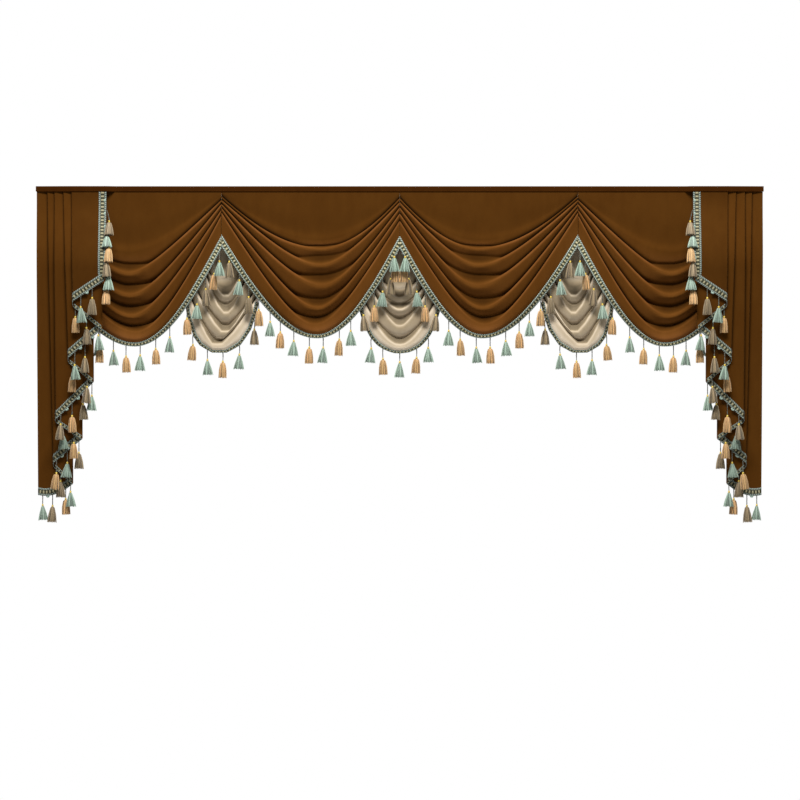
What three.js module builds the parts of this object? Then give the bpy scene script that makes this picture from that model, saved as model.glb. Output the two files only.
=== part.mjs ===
// Velvet swag valance: four brown swags, three cream cowls behind their seams, two pleated tails
// at the ends and a tassel braid on every hem, all bound into one heading.
// Millimetres, +Z up. The front faces -Y, and the origin is the middle of the top edge.
// "Forward" below is the distance towards -Y, and heights are measured down from the top edge.

import * as THREE from "three";

// Driving dimensions
const HALF_WIDTH = 1250; // the heading from its middle to an end
const SWAG_SPAN = 612; // a swag from seam to seam
const CLOTH = 1.4; // velvet thickness
const CLEAR = 0.4; // left between pieces that lie on each other
const HEADING = { height: 18, tape: 1.6, back: 3.8 };
// How far forward the heading's front stands, over the tails' pleats and between them
const HEADING_FRONT = [
  { x: -HALF_WIDTH, front: 7 },
  { x: -1214, front: 10.6 },
  { x: -1129, front: 22 },
  { x: -1005, front: 22 },
  { x: -979, front: 4 },
  { x: 0, front: 4 },
];
const CLOTH_TOP = -3; // cut edges inside the heading
const BELOW_HEADING = -20;
const BRAID = { onSwags: 20, onCowls: 16, onTails: 22, overhang: 4, thick: 1.8, clear: 0.5 };
const TASSEL = { spacing: 52, root: 5, neck: 6, deep: 0.42, pressed: 0.32, forward: 3 };
const CORD = { onDrapes: 29, onTails: 37 }; // from the braid to a tassel's neck

// Tassel kinds: length below the cord and half widths at the neck, the shoulder and the hem
const KINDS = {
  teal: { length: 57, neck: 3, shoulder: 8, hem: 17 },
  gold: { length: 62, neck: 3, shoulder: 11, hem: 13.5 },
  taupe: { length: 62, neck: 3, shoulder: 9, hem: 15 },
};

// How folds change from rolls in the middle of a drape to pleats at its ends: where a fold stands out
// most and where it starts to turn in, between two creases, how far it has turned in there, and how
// deep a roll's upper slope lies at its crest, as a share of the crease
const SOFT_ROLLS = {
  nose: { middle: 0.3, flank: 0.14 },
  fall: { middle: 0.75, flank: 0.88 },
  turned: { middle: 0.55, flank: 0.42 },
  crestSink: 0.42,
};
const SHARP_ROLLS = {
  nose: { middle: 0.3, flank: 0.14 },
  fall: { middle: 0.86, flank: 0.88 },
  turned: { middle: 0.3, flank: 0.42 },
  crestSink: 0.12,
};
const FLAT_TOP = [{ down: 0.5, out: 0.35 }, { down: 0.86, out: 0.5 }]; // its slope to the first fold
const LAST_NOSE = 0.6; // the same for the last fold, between its crest and the hem

// Each fold: lowest point (x from the left end, height), roundness of its curve, heights at the
// ends, how far it stands forward, the crease above it in the middle and that crease's depth.
// The first row of a drape is the soft roll that ends its flat top, which has no crease above it.
// "tassels" gives the kind of each one along the hem and where it hangs, as x like the folds, its
// cord's length if that isn't the usual one, and how far others push it sideways and forward.
// "rolls" is how far the rolls reach to the left and to the right, as a share of a half span, and
// "pleatDrop" is how far a pleat's crease lies below the next crest.
const OUTER_SWAG = {
  ends: [0, SWAG_SPAN],
  shape: SOFT_ROLLS,
  rolls: [0.6, 0.24],
  pleatDrop: 15,
  back: 1.2,
  layer: 2.4,
  columns: 13,
  folds: [
    { lowX: 292, low: -228, round: 0.5, left: -34, right: -34, forward: 20, crease: -120, tuck: 9 },
    { lowX: 294, low: -292, round: 0.25, left: -76, right: -48, forward: 33, crease: -268, tuck: 24 },
    { lowX: 298, low: -367, round: 0.3, left: -116, right: -62, forward: 40, crease: -335, tuck: 26 },
    { lowX: 303, low: -439, round: 0.32, left: -156, right: -82, forward: 45, crease: -409, tuck: 26 },
    { lowX: 318, low: -497, round: 0.45, left: -192, right: -101, forward: 47, crease: -477, tuck: 22 },
  ],
  hem: { lowX: 314, low: -547, round: 0.9, left: -270, right: -212, forward: 25, atEnds: 28 },
  braid: BRAID.onSwags,
  braidFrom: -1,
  braidTo: 1,
  tassels: [
    { x: 140, kind: "gold" },
    { x: 192, kind: "teal" },
    { x: 242, kind: "teal" },
    { x: 285, kind: "gold", cord: 35 },
    { x: 333, kind: "teal" },
    { x: 386, kind: "gold" },
    { x: 434, kind: "teal" },
    { x: 493, kind: "gold", cord: 40 },
    { x: 528, kind: "teal", cord: 40 },
    { x: 558, kind: "taupe", cord: 37 },
    { x: 587, kind: "gold", cord: 38 },
    { x: 606, kind: "teal", over: 12.5 },
  ],
};
const INNER_SWAG = {
  ends: [0, SWAG_SPAN],
  shape: SOFT_ROLLS,
  rolls: [0.24, 0.42],
  pleatDrop: 15,
  back: 1.2,
  layer: 2.4,
  columns: 13,
  folds: [
    { lowX: 336, low: -184, round: 1.2, left: -28, right: -32, forward: 13, crease: -100, tuck: 6 },
    { lowX: 339, low: -211, round: 1.2, left: -36, right: -42, forward: 24, crease: -205, tuck: 17 },
    { lowX: 339, low: -265, round: 0.4, left: -48, right: -56, forward: 33, crease: -238, tuck: 17 },
    { lowX: 346, low: -333, round: 0.4, left: -62, right: -74, forward: 40, crease: -303, tuck: 21 },
    { lowX: 330, low: -412, round: 0.3, left: -76, right: -95, forward: 45, crease: -385, tuck: 22 },
    { lowX: 322, low: -470, round: 0.35, left: -92, right: -120, forward: 47, crease: -448, tuck: 19 },
  ],
  hem: { lowX: 328, low: -519, round: 0.9, left: -204, right: -212, forward: 25, atEnds: 28 },
  braid: BRAID.onSwags,
  braidFrom: -1,
  braidTo: 1,
  tassels: [
    { x: 27, kind: "taupe", cord: 8, over: 3 },
    { x: 62, kind: "teal", cord: 17 },
    { x: 94, kind: "taupe" },
    { x: 129, kind: "gold" },
    { x: 168, kind: "teal" },
    { x: 203, kind: "gold" },
    { x: 249, kind: "teal" },
    { x: 302, kind: "gold" },
    { x: 349, kind: "teal" },
    { x: 404, kind: "gold" },
    { x: 443, kind: "teal" },
    { x: 487, kind: "taupe" },
    { x: 524, kind: "gold", cord: 47 },
    { x: 553, kind: "teal", cord: 42 },
    { x: 581, kind: "taupe", cord: 47 },
    { x: 597, kind: "gold", over: 11.5 },
    { x: 605, kind: "teal", cord: 12, sway: -11.5, over: 24.5 },
  ],
};
// Cowls hang from a narrow neck and widen from fold to fold behind the swags, so each of their lines
// has ends of its own, "leftX" and "rightX". Their hems swing out sideways by "bulge".
const SIDE_COWL = {
  ends: [-40, 46],
  shape: SHARP_ROLLS,
  rolls: [0.55, 0.55],
  pleatDrop: 5,
  back: -1,
  layer: 2,
  columns: 11,
  folds: [
    {
      lowX: 8, low: -281, round: 0.4, leftX: -40, left: -225,
      rightX: 46, right: -222, forward: -3, crease: -150, tuck: 9,
    },
    {
      lowX: 14, low: -374, round: 0.45, leftX: -50, left: -283,
      rightX: 78, right: -275, forward: 10, crease: -318, tuck: 24,
    },
    {
      lowX: 15, low: -432, round: 0.5, leftX: -62, left: -285,
      rightX: 92, right: -300, forward: 16, crease: -397, tuck: 28,
    },
    {
      lowX: 14, low: -500, round: 0.3, leftX: -92, left: -350,
      rightX: 112, right: -362, forward: 20, crease: -470, tuck: 30,
    },
    {
      lowX: -18, low: -545, round: 0.3, leftX: -112, left: -372,
      rightX: 124, right: -380, forward: 21, crease: -527, tuck: 24,
    },
  ],
  hem: {
    lowX: -8, low: -571, round: 2, leftX: -124, left: -390,
    rightX: 130, right: -370, bulge: 22, forward: 6, atEnds: 10,
  },
  braid: BRAID.onCowls,
  braidFrom: -0.92,
  braidTo: 0.92,
  tassels: [
    { x: -97, kind: "gold" },
    { x: -48, kind: "teal" },
    { x: 4, kind: "gold" },
    { x: 61, kind: "teal" },
    { x: 112, kind: "taupe" },
  ],
};
const MIDDLE_COWL = {
  ...SIDE_COWL,
  ends: [-42, 42],
  folds: [
    {
      lowX: 0, low: -330, round: 0.5, leftX: -42, left: -235,
      rightX: 42, right: -235, forward: -3, crease: -150, tuck: 9,
    },
    {
      lowX: 0, low: -378, round: 0.5, leftX: -66, left: -315,
      rightX: 66, right: -315, forward: 10, crease: -352, tuck: 22,
    },
    {
      lowX: 0, low: -420, round: 0.5, leftX: -88, left: -338,
      rightX: 88, right: -338, forward: 16, crease: -398, tuck: 24,
    },
    {
      lowX: 0, low: -477, round: 0.35, leftX: -104, left: -345,
      rightX: 104, right: -345, forward: 20, crease: -444, tuck: 30,
    },
    {
      lowX: 0, low: -541, round: 0.6, leftX: -130, left: -385,
      rightX: 130, right: -385, forward: 21, crease: -516, tuck: 24,
    },
  ],
  hem: {
    lowX: 0, low: -571, round: 2, leftX: -143, left: -395,
    rightX: 143, right: -395, bulge: 20, forward: 6, atEnds: 10,
  },
  tassels: [
    { x: -97, kind: "teal" },
    { x: -57, kind: "gold" },
    { x: 0, kind: "teal" },
    { x: 57, kind: "gold" },
    { x: 97, kind: "teal" },
  ],
};

// The left tail, from its free front edge through eight folds to its outer edge: x at the top and
// at the hem, and the hem's height there. Round a fold the hem drops by "turn", and half way to the
// next row it sags by "sag".
const TAIL_FOLDS = [
  { top: -1011, hem: -1011, height: -322, turn: 0, sag: 0 },
  { top: -1126, hem: -1118, height: -391, turn: 24, sag: 0 },
  { top: -1021, hem: -1018, height: -490, turn: 0, sag: 0 },
  { top: -1155, hem: -1134, height: -583, turn: 24, sag: 0 },
  { top: -1050, hem: -1048, height: -672, turn: 0, sag: 0 },
  { top: -1185, hem: -1178, height: -795, turn: 15, sag: 0 },
  { top: -1090, hem: -1087, height: -866, turn: 0, sag: 0 },
  { top: -1210, hem: -1186, height: -943, turn: 22, sag: 0 },
  { top: -1122, hem: -1120, height: -1020, turn: 0, sag: -16 },
  { top: -1247, hem: -1240, height: -1056, turn: 0, sag: 0 },
];
const TAIL = {
  pressed: { back: 3.9, pitch: 1.9 }, // the layers' places inside the heading
  hanging: { back: 44, pitch: 7 }, // and once they hang free
  flareTo: -280, // they have spread by this height
  rows: [CLOTH_TOP, BELOW_HEADING, -110, -200, -280],
  braidRise: 27, // height of the braid's upper edge above the slanting hem
  puff: 2.5, // a layer's bow towards the front
  firstTassel: 56,
  sway: [11, 4], // how far the tassels of its front edge hang to the side, in turn
  lift: 6, // and how far in front of the braid, leaning out by "tilt" below the neck
  tilt: 0.22,
  kinds: ["taupe", "teal", "gold"],
  // The tassels of its hem: the layer that each hangs on, counted from the front, and the rest as above
  tassels: [
    { layer: 0, x: -1052, kind: "taupe", cord: 30 },
    { layer: 0, x: -1091, kind: "teal", cord: 36, over: 5 },
    { layer: 1, x: -1110, kind: "gold", cord: 23 },
    { layer: 1, x: -1072, kind: "taupe", cord: 30 },
    { layer: 1, x: -1031, kind: "teal", cord: 24, over: 9 },
    { layer: 2, x: -1026, kind: "gold", cord: 50 },
    { layer: 2, x: -1077, kind: "taupe", cord: 43 },
    { layer: 2, x: -1112, kind: "teal", cord: 40, over: 10 },
    { layer: 3, x: -1120, kind: "gold", cord: 26, over: 2.5 },
    { layer: 3, x: -1070, kind: "taupe", cord: 28, over: 13 },
    { layer: 3, x: -1054, kind: "teal", cord: 44 },
    { layer: 4, x: -1084, kind: "taupe", cord: 36 },
    { layer: 4, x: -1122, kind: "gold", cord: 38 },
    { layer: 4, x: -1161, kind: "taupe", cord: 31, over: 8 },
    { layer: 5, x: -1154, kind: "teal", cord: 23, over: 3 },
    { layer: 5, x: -1116, kind: "gold", cord: 23, over: 13 },
    { layer: 5, x: -1099, kind: "taupe", cord: 46 },
    { layer: 6, x: -1139, kind: "teal", cord: 37 },
    { layer: 6, x: -1176, kind: "gold", cord: 38, over: 11 },
    { layer: 7, x: -1162, kind: "taupe", cord: 23, over: 5 },
    { layer: 7, x: -1128, kind: "teal", cord: 26, over: 11 },
    { layer: 8, x: -1145, kind: "gold", cord: 30 },
    { layer: 8, x: -1190, kind: "taupe", cord: 32 },
    { layer: 8, x: -1224, kind: "teal", cord: 28 },
  ],
};

const mix = (a, b, share) => a + (b - a) * share;
const smooth = (share) => {
  const s = Math.min(Math.max(share, 0), 1);
  return s * s * (3 - 2 * s);
};
const at = (x, forward, z) => new THREE.Vector3(x, -forward, z);

// A closed body from vertices and triangles, turned so that its faces point out
function bodyGeometry(points, triangles) {
  let volume = 0;
  for (const [a, b, c] of triangles)
    volume += points[a].dot(new THREE.Vector3().crossVectors(points[b], points[c]));
  const index = triangles.flatMap(([a, b, c]) => (volume < 0 ? [a, c, b] : [a, b, c]));
  const geometry = new THREE.BufferGeometry().setFromPoints(points);
  geometry.setIndex(index);
  geometry.computeVertexNormals();
  return geometry;
}

// The right side's direction at each point of a sheet's middle surface
function sheetNormals(grid, facing, flushEnds) {
  const last = { row: grid.length - 1, column: grid[0].length - 1 };
  return grid.map((line, r) =>
    line.map((_, c) => {
      const across = new THREE.Vector3().subVectors(
        line[Math.min(c + 1, last.column)],
        line[Math.max(c - 1, 0)],
      );
      const down = new THREE.Vector3().subVectors(
        grid[Math.min(r + 1, last.row)][c],
        grid[Math.max(r - 1, 0)][c],
      );
      const normal = new THREE.Vector3().crossVectors(across, down).multiplyScalar(facing);
      if (flushEnds && (c === 0 || c === last.column)) normal.x = 0;
      return normal.normalize();
    }),
  );
}

// A cloth of even thickness on both sides of a grid of points
function sheetGeometry(grid, normals) {
  const rows = grid.length;
  const columns = grid[0].length;
  const points = [];
  for (const side of [1, -1])
    for (let r = 0; r < rows; r++)
      for (let c = 0; c < columns; c++)
        points.push(grid[r][c].clone().addScaledVector(normals[r][c], (side * CLOTH) / 2));
  const front = (r, c) => r * columns + c;
  const back = (r, c) => rows * columns + front(r, c);
  const triangles = [];
  for (let r = 0; r + 1 < rows; r++)
    for (let c = 0; c + 1 < columns; c++) {
      const corner = [[r, c], [r, c + 1], [r + 1, c + 1], [r + 1, c]];
      const depth = corner.map(([i, j]) => grid[i][j].dot(normals[r][c]));
      const turn = depth[0] + depth[2] <= depth[1] + depth[3] ? 0 : 1; // the diagonal that lies deeper
      const q = [0, 1, 2, 3].map((k) => corner[(k + turn) % 4]);
      for (const [i, j, k] of [[0, 1, 2], [0, 2, 3]]) {
        triangles.push([front(...q[i]), front(...q[j]), front(...q[k])]);
        triangles.push([back(...q[i]), back(...q[k]), back(...q[j])]);
      }
    }
  const rim = [];
  for (let c = 0; c < columns; c++) rim.push([0, c]);
  for (let r = 1; r < rows; r++) rim.push([r, columns - 1]);
  for (let c = columns - 2; c >= 0; c--) rim.push([rows - 1, c]);
  for (let r = rows - 2; r > 0; r--) rim.push([r, 0]);
  rim.forEach((here, i) => {
    const next = rim[(i + 1) % rim.length];
    triangles.push([front(...next), front(...here), back(...here)]);
    triangles.push([front(...next), back(...here), back(...next)]);
  });
  return bodyGeometry(points, triangles);
}

// Where a fold's curve runs: t goes from -1 at the left end, through 0 at the lowest point, to 1
function curveAt(drape, curve, t, bulgeShare = 1) {
  const s = Math.abs(t);
  const [end, height] =
    t < 0
      ? [curve.leftX ?? drape.ends[0], curve.left]
      : [curve.rightX ?? drape.ends[1], curve.right];
  const rise = (Math.hypot(s, curve.round) - curve.round) / (Math.hypot(1, curve.round) - curve.round);
  const bulge = (curve.bulge ?? 0) * bulgeShare * Math.sin(Math.PI * t);
  return { x: mix(curve.lowX, end, s) + bulge, z: mix(curve.low, height, rise) };
}

// The points down a drape at one place across it, from the cut top edge to the hem
function drapeColumn(drape, t) {
  const { folds, hem, back, layer } = drape;
  const roll = Math.exp(-((t / drape.rolls[t < 0 ? 0 : 1]) ** 2));
  const swell = Math.cos((Math.PI / 2) * t);
  const forward = (atSeam, inMiddle) => mix(atSeam, inMiddle, Math.max(swell, 0));
  const curves = folds.map((fold) => curveAt(drape, fold, t));
  const edge = curveAt(drape, hem, t);
  const straight = curveAt(drape, folds[0], t, 0).x;
  const column = [
    at(straight, back, CLOTH_TOP),
    at(straight, back, BELOW_HEADING),
    ...FLAT_TOP.map(({ down, out }) =>
      at(
        mix(straight, curves[0].x, down),
        forward(back, mix(back, folds[0].forward, out)),
        mix(BELOW_HEADING, curves[0].z, down),
      ),
    ),
  ];
  folds.forEach((fold, k) => {
    const here = curves[k];
    const seam = back + 2 * layer * k;
    if (k > 0) {
      const above = curves[k - 1];
      const share = (fold.crease - folds[k - 1].low) / (fold.low - folds[k - 1].low);
      const pleat = { x: here.x, z: here.z - drape.pleatDrop };
      column.push(
        at(
          mix(pleat.x, mix(above.x, here.x, share), roll),
          forward(seam - 1.5 * layer, fold.forward - fold.tuck),
          mix(pleat.z, mix(above.z, here.z, share), roll),
        ),
      );
    }
    const sink = mix(2, k > 0 ? drape.shape.crestSink * fold.tuck : 2, roll);
    column.push(at(here.x, forward(seam - (k > 0 ? 0.5 * layer : 0), fold.forward - sink), here.z));
    const next = folds[k + 1];
    if (!next) return;
    const below = curves[k + 1];
    const creaseShare = (next.crease - fold.low) / (next.low - fold.low);
    const shareOf = (place) => mix(place.flank, place.middle * creaseShare, roll);
    const { nose, fall, turned } = drape.shape;
    const turnedIn = mix(turned.flank, turned.middle, roll);
    const depthAtFall = mix(fold.forward + 1, next.forward - next.tuck, turnedIn);
    if (k > 0)
      column.push(
        at(
          mix(here.x, below.x, shareOf(nose)),
          forward(seam, fold.forward + 1),
          mix(here.z, below.z, shareOf(nose)),
        ),
      );
    column.push(
      at(
        mix(here.x, below.x, shareOf(fall)),
        forward(seam, depthAtFall),
        mix(here.z, below.z, shareOf(fall)),
      ),
    );
  });
  const lastFold = folds[folds.length - 1];
  const lastCurve = curves[folds.length - 1];
  const seam = back + 2 * layer * (folds.length - 1);
  column.push(
    at(
      mix(lastCurve.x, edge.x, LAST_NOSE),
      forward(mix(seam, hem.atEnds, 0.4), lastFold.forward + 1),
      mix(lastCurve.z, edge.z, LAST_NOSE),
    ),
  );
  column.push(at(edge.x, forward(hem.atEnds, hem.forward), edge.z));
  return column;
}

// A drape's grid of points, with a row added along the braid's upper edge
function drapeGrid(drape) {
  const places = Array.from({ length: drape.columns }, (_, i) => {
    const even = -1 + (2 * i) / (drape.columns - 1);
    return Math.sign(even) * Math.abs(even) ** 1.2;
  });
  const columns = places.map((t) => drapeColumn(drape, t));
  const hems = columns.map((column) => column[column.length - 1]);
  columns.forEach((column, c) => {
    const hem = hems[c];
    const along = new THREE.Vector3()
      .subVectors(hems[Math.min(c + 1, hems.length - 1)], hems[Math.max(c - 1, 0)])
      .normalize();
    const up = new THREE.Vector3().subVectors(column[column.length - 2], hem);
    const room = up.length() * 0.92;
    up.normalize();
    const lean = Math.sqrt(Math.max(1 - up.dot(along) ** 2, 0.16));
    const rise = Math.min(drape.braid / lean, room);
    column.splice(column.length - 1, 0, hem.clone().addScaledVector(up, rise));
  });
  const grid = columns[0].map((_, r) => columns.map((column) => column[r]));
  return { grid, places };
}

// How far forward a layer of a tail hangs at some height; layer 0 is the front one
function tailDepth(layer, z) {
  const fromBack = TAIL_FOLDS.length - 2 - layer;
  const open = smooth((BELOW_HEADING - z) / (BELOW_HEADING - TAIL.flareTo));
  const place = ({ back, pitch }) => back + pitch * fromBack;
  return mix(place(TAIL.pressed), place(TAIL.hanging), open);
}

// The left tail's grid: columns follow the folded cloth, with three points round each fold
function tailGrid() {
  const layers = TAIL_FOLDS.length - 1;
  const depth = tailDepth;
  const foldX = (fold, z) => mix(fold.top, fold.hem, z / fold.height);
  const columns = [];
  const addColumn = (height, pointAt) => {
    const levels = [...TAIL.rows, height + TAIL.braidRise, height];
    columns.push(levels.map(pointAt));
  };
  for (let layer = 0; layer < layers; layer++) {
    const from = TAIL_FOLDS[layer];
    const to = TAIL_FOLDS[layer + 1];
    const inwards = Math.sign(to.top - from.top);
    const radius = (z, other) => Math.abs(depth(layer, z) - depth(other, z)) / 2;
    const corner = (fold, other, way, height) =>
      addColumn(height, (z) => {
        const inset = other < 0 || other >= layers ? 0 : radius(z, other);
        return at(foldX(fold, z) + way * inset, depth(layer, z), z);
      });
    const start = from.height - from.turn;
    corner(from, layer - 1, inwards, start);
    addColumn(mix(start, to.height, 0.5) + from.sag, (z) =>
      at(
        mix(foldX(from, z), foldX(to, z), 0.5),
        depth(layer, z) + TAIL.puff * smooth((BELOW_HEADING - z) / 200),
        z,
      ),
    );
    corner(to, layer + 1, -inwards, to.height);
    if (layer + 1 < layers)
      addColumn(to.height - to.turn / 2, (z) =>
        at(foldX(to, z), mix(depth(layer, z), depth(layer + 1, z), 0.5), z),
      );
  }
  return columns[0].map((_, r) => columns.map((column) => column[r]));
}

// One place along a braid: its outer and inner edges on the cloth and the cloth's direction there
const braidPlace = (outer, inner, outerNormal, innerNormal) => ({ outer, inner, outerNormal, innerNormal });
function betweenPlaces(a, b, share) {
  const between = {};
  for (const key of Object.keys(a)) between[key] = a[key].clone().lerp(b[key], share);
  return between;
}

// A braid's places along the hem, which is the grid's last row, from one column to another
function hemPlaces(grid, normals, from, to, step) {
  const hem = grid.length - 1;
  const places = [];
  const steps = [from, to];
  for (let c = 0; c < grid[0].length; c += step) if (c > from + 0.05 && c < to - 0.05) steps.push(c);
  for (const c of steps.sort((a, b) => a - b)) {
    const low = Math.min(Math.floor(c), grid[0].length - 2);
    const pick = (table, row) => table[row][low].clone().lerp(table[row][low + 1], c - low);
    const inner = pick(grid, hem - 1);
    const edge = pick(grid, hem);
    const out = new THREE.Vector3().subVectors(edge, inner).normalize();
    edge.addScaledVector(out, BRAID.overhang);
    places.push(braidPlace(edge, inner, pick(normals, hem), pick(normals, hem - 1)));
  }
  return places;
}

// How far along a braid's outer edge each of its places is
function reaches(places) {
  const reach = [0];
  for (let i = 1; i < places.length; i++)
    reach.push(reach[i - 1] + places[i].outer.distanceTo(places[i - 1].outer));
  return reach;
}

// Tassels at the given places along a hem, each sought from the first place of its layer on
function placedTassels(places, reach, rows, firstPlaces) {
  return rows.map(({ layer = 0, x, kind, cord = CORD.onDrapes, sway = 0, over = 0 }) => {
    let i = firstPlaces[layer] + 1;
    while ((x - places[i - 1].outer.x) * (x - places[i].outer.x) > 0) i++;
    const [before, beyond] = [places[i - 1].outer.x, places[i].outer.x];
    const start = mix(reach[i - 1], reach[i], (x - before) / (beyond - before));
    return { start, kind, cord, sway, forward: TASSEL.forward + over };
  });
}

// Evenly spaced tassels along a braid's first stretch
function spacedTassels(from, to, kinds) {
  const tassels = [];
  for (let n = 0; from + n * TASSEL.spacing < to; n++)
    tassels.push({
      number: n,
      start: from + n * TASSEL.spacing,
      kind: kinds[n % kinds.length],
      cord: CORD.onTails,
    });
  return tassels;
}

// Two more places for each tassel, a cord's width apart, put in among a braid's places
function placesWithTassels(places, reach, tassels) {
  const marks = places.map((place, i) => ({ reach: reach[i], place }));
  const half = TASSEL.root / 2;
  for (const tassel of tassels) {
    let middle = tassel.start;
    for (const bend of reach)
      if (Math.abs(bend - middle) < half + 1) middle = bend + (middle < bend ? -1 : 1) * (half + 1);
    for (const side of [-half, half]) {
      const i = Math.min(Math.max(reach.findIndex((r) => r >= middle + side), 1), places.length - 1);
      const share = (middle + side - reach[i - 1]) / (reach[i] - reach[i - 1]);
      marks.push({
        reach: middle + side,
        place: betweenPlaces(places[i - 1], places[i], share),
        tassel: side < 0 ? tassel : null,
      });
    }
  }
  return marks.sort((a, b) => a.reach - b.reach);
}

// A woven strip with its tassels drawn out of its outer edge
function braidGeometry(marks, hang) {
  const points = [];
  const triangles = [];
  const add = (point) => points.push(point) - 1;
  const near = CLOTH / 2 + BRAID.clear;
  const far = near + BRAID.thick;
  const rings = marks.map(({ place }) => [
    add(place.outer.clone().addScaledVector(place.outerNormal, near)),
    add(place.outer.clone().addScaledVector(place.outerNormal, far)),
    add(place.inner.clone().addScaledVector(place.innerNormal, far)),
    add(place.inner.clone().addScaledVector(place.innerNormal, near)),
  ]);
  const quad = (a, b, c, d) => triangles.push([a, b, c], [a, c, d]);
  const skin = (from, to) => from.forEach((_, k) => {
    const n = (k + 1) % from.length;
    quad(from[k], from[n], to[n], to[k]);
  });
  quad(...[...rings[0]].reverse());
  quad(...rings[rings.length - 1]);
  for (let i = 0; i + 1 < marks.length; i++) {
    const [a, b] = [rings[i], rings[i + 1]];
    const tassel = marks[i].tassel;
    for (let k = 0; k < 4; k++) {
      const n = (k + 1) % 4;
      if (k === 0 && tassel) {
        let ring = [a[0], a[1], b[1], b[0]];
        for (const next of hang(marks[i].place, marks[i + 1].place, tassel)) {
          const drawn = next.map(add);
          skin(ring, drawn);
          ring = drawn;
        }
        quad(...ring);
      } else quad(a[k], a[n], b[n], b[k]);
    }
  }
  return bodyGeometry(points, triangles);
}

// The rings of one tassel: cord, neck, shoulder and the skirt's hem, hanging straight down
function tasselRings(first, second, tassel, lean) {
  const size = KINDS[tassel.kind];
  const { cord } = tassel;
  const root = first.outer.clone().lerp(second.outer, 0.5);
  const out = new THREE.Vector3().subVectors(first.outer, first.inner).normalize();
  const normal = first.outerNormal.clone();
  const along = new THREE.Vector3().subVectors(second.outer, first.outer);
  const handed = Math.sign(along.dot(new THREE.Vector3().crossVectors(out, normal))) || 1;
  const down = new THREE.Vector3(0, 0, -1);
  const facing = new THREE.Vector3(0, Math.sign(normal.y) || -1, 0);
  const sideways = new THREE.Vector3().crossVectors(down, facing).multiplyScalar(handed);
  const rows = [
    { drop: cord, half: size.neck },
    { drop: cord + 2 * TASSEL.neck, half: size.shoulder },
    { drop: cord + size.length, half: size.hem },
  ];
  return rows.map(({ drop, half }) => {
    const { sway, forward, flat } = lean(tassel, out, root, drop);
    const middle = root.clone().add(at(sway, forward, -drop));
    const deep = Math.max(half * flat, 1.5);
    const corner = (u, v) =>
      middle.clone().addScaledVector(sideways, u * half).addScaledVector(facing, v * deep);
    return [corner(-1, -1), corner(-1, 1), corner(1, 1), corner(1, -1)];
  });
}

const MATERIALS = {
  brown: new THREE.MeshStandardMaterial({ color: 0x573412, roughness: 0.95, metalness: 0 }),
  cream: new THREE.MeshStandardMaterial({ color: 0xc9b48f, roughness: 0.95, metalness: 0 }),
  braid: new THREE.MeshStandardMaterial({ color: 0x8c957f, roughness: 0.8, metalness: 0 }),
};
function piece(name, geometry, material) {
  const mesh = new THREE.Mesh(geometry, material);
  mesh.name = name;
  return mesh;
}

// A swag or a cowl and its braid, in a group of its own
function drapeGroup(name, drape, material, seamGap) {
  const { grid, places } = drapeGrid(drape);
  const middle = (drape.ends[0] + drape.ends[1]) / 2;
  if (seamGap)
    for (const line of grid)
      for (const point of line)
        point.x = middle + (point.x - middle) * (1 - (2 * seamGap) / (drape.ends[1] - drape.ends[0]));
  const normals = sheetNormals(grid, -1, seamGap > 0);
  const columnOf = (t) => {
    const after = Math.max(places.findIndex((p) => p >= t - 1e-9), 1);
    return after - 1 + (t - places[after - 1]) / (places[after] - places[after - 1]);
  };
  const strip = hemPlaces(grid, normals, columnOf(drape.braidFrom), columnOf(drape.braidTo), 0.5);
  const reach = reaches(strip);
  const tassels = placedTassels(strip, reach, drape.tassels, [0]);
  const lean = ({ sway, forward }) => ({ sway, forward, flat: TASSEL.deep });
  const marks = placesWithTassels(strip, reach, tassels);
  const group = new THREE.Group();
  group.add(piece(name, sheetGeometry(grid, normals), material));
  group.add(
    piece(
      `braid_${name}`,
      braidGeometry(marks, (a, b, tassel) => tasselRings(a, b, tassel, lean)),
      MATERIALS.braid,
    ),
  );
  return group;
}

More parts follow.
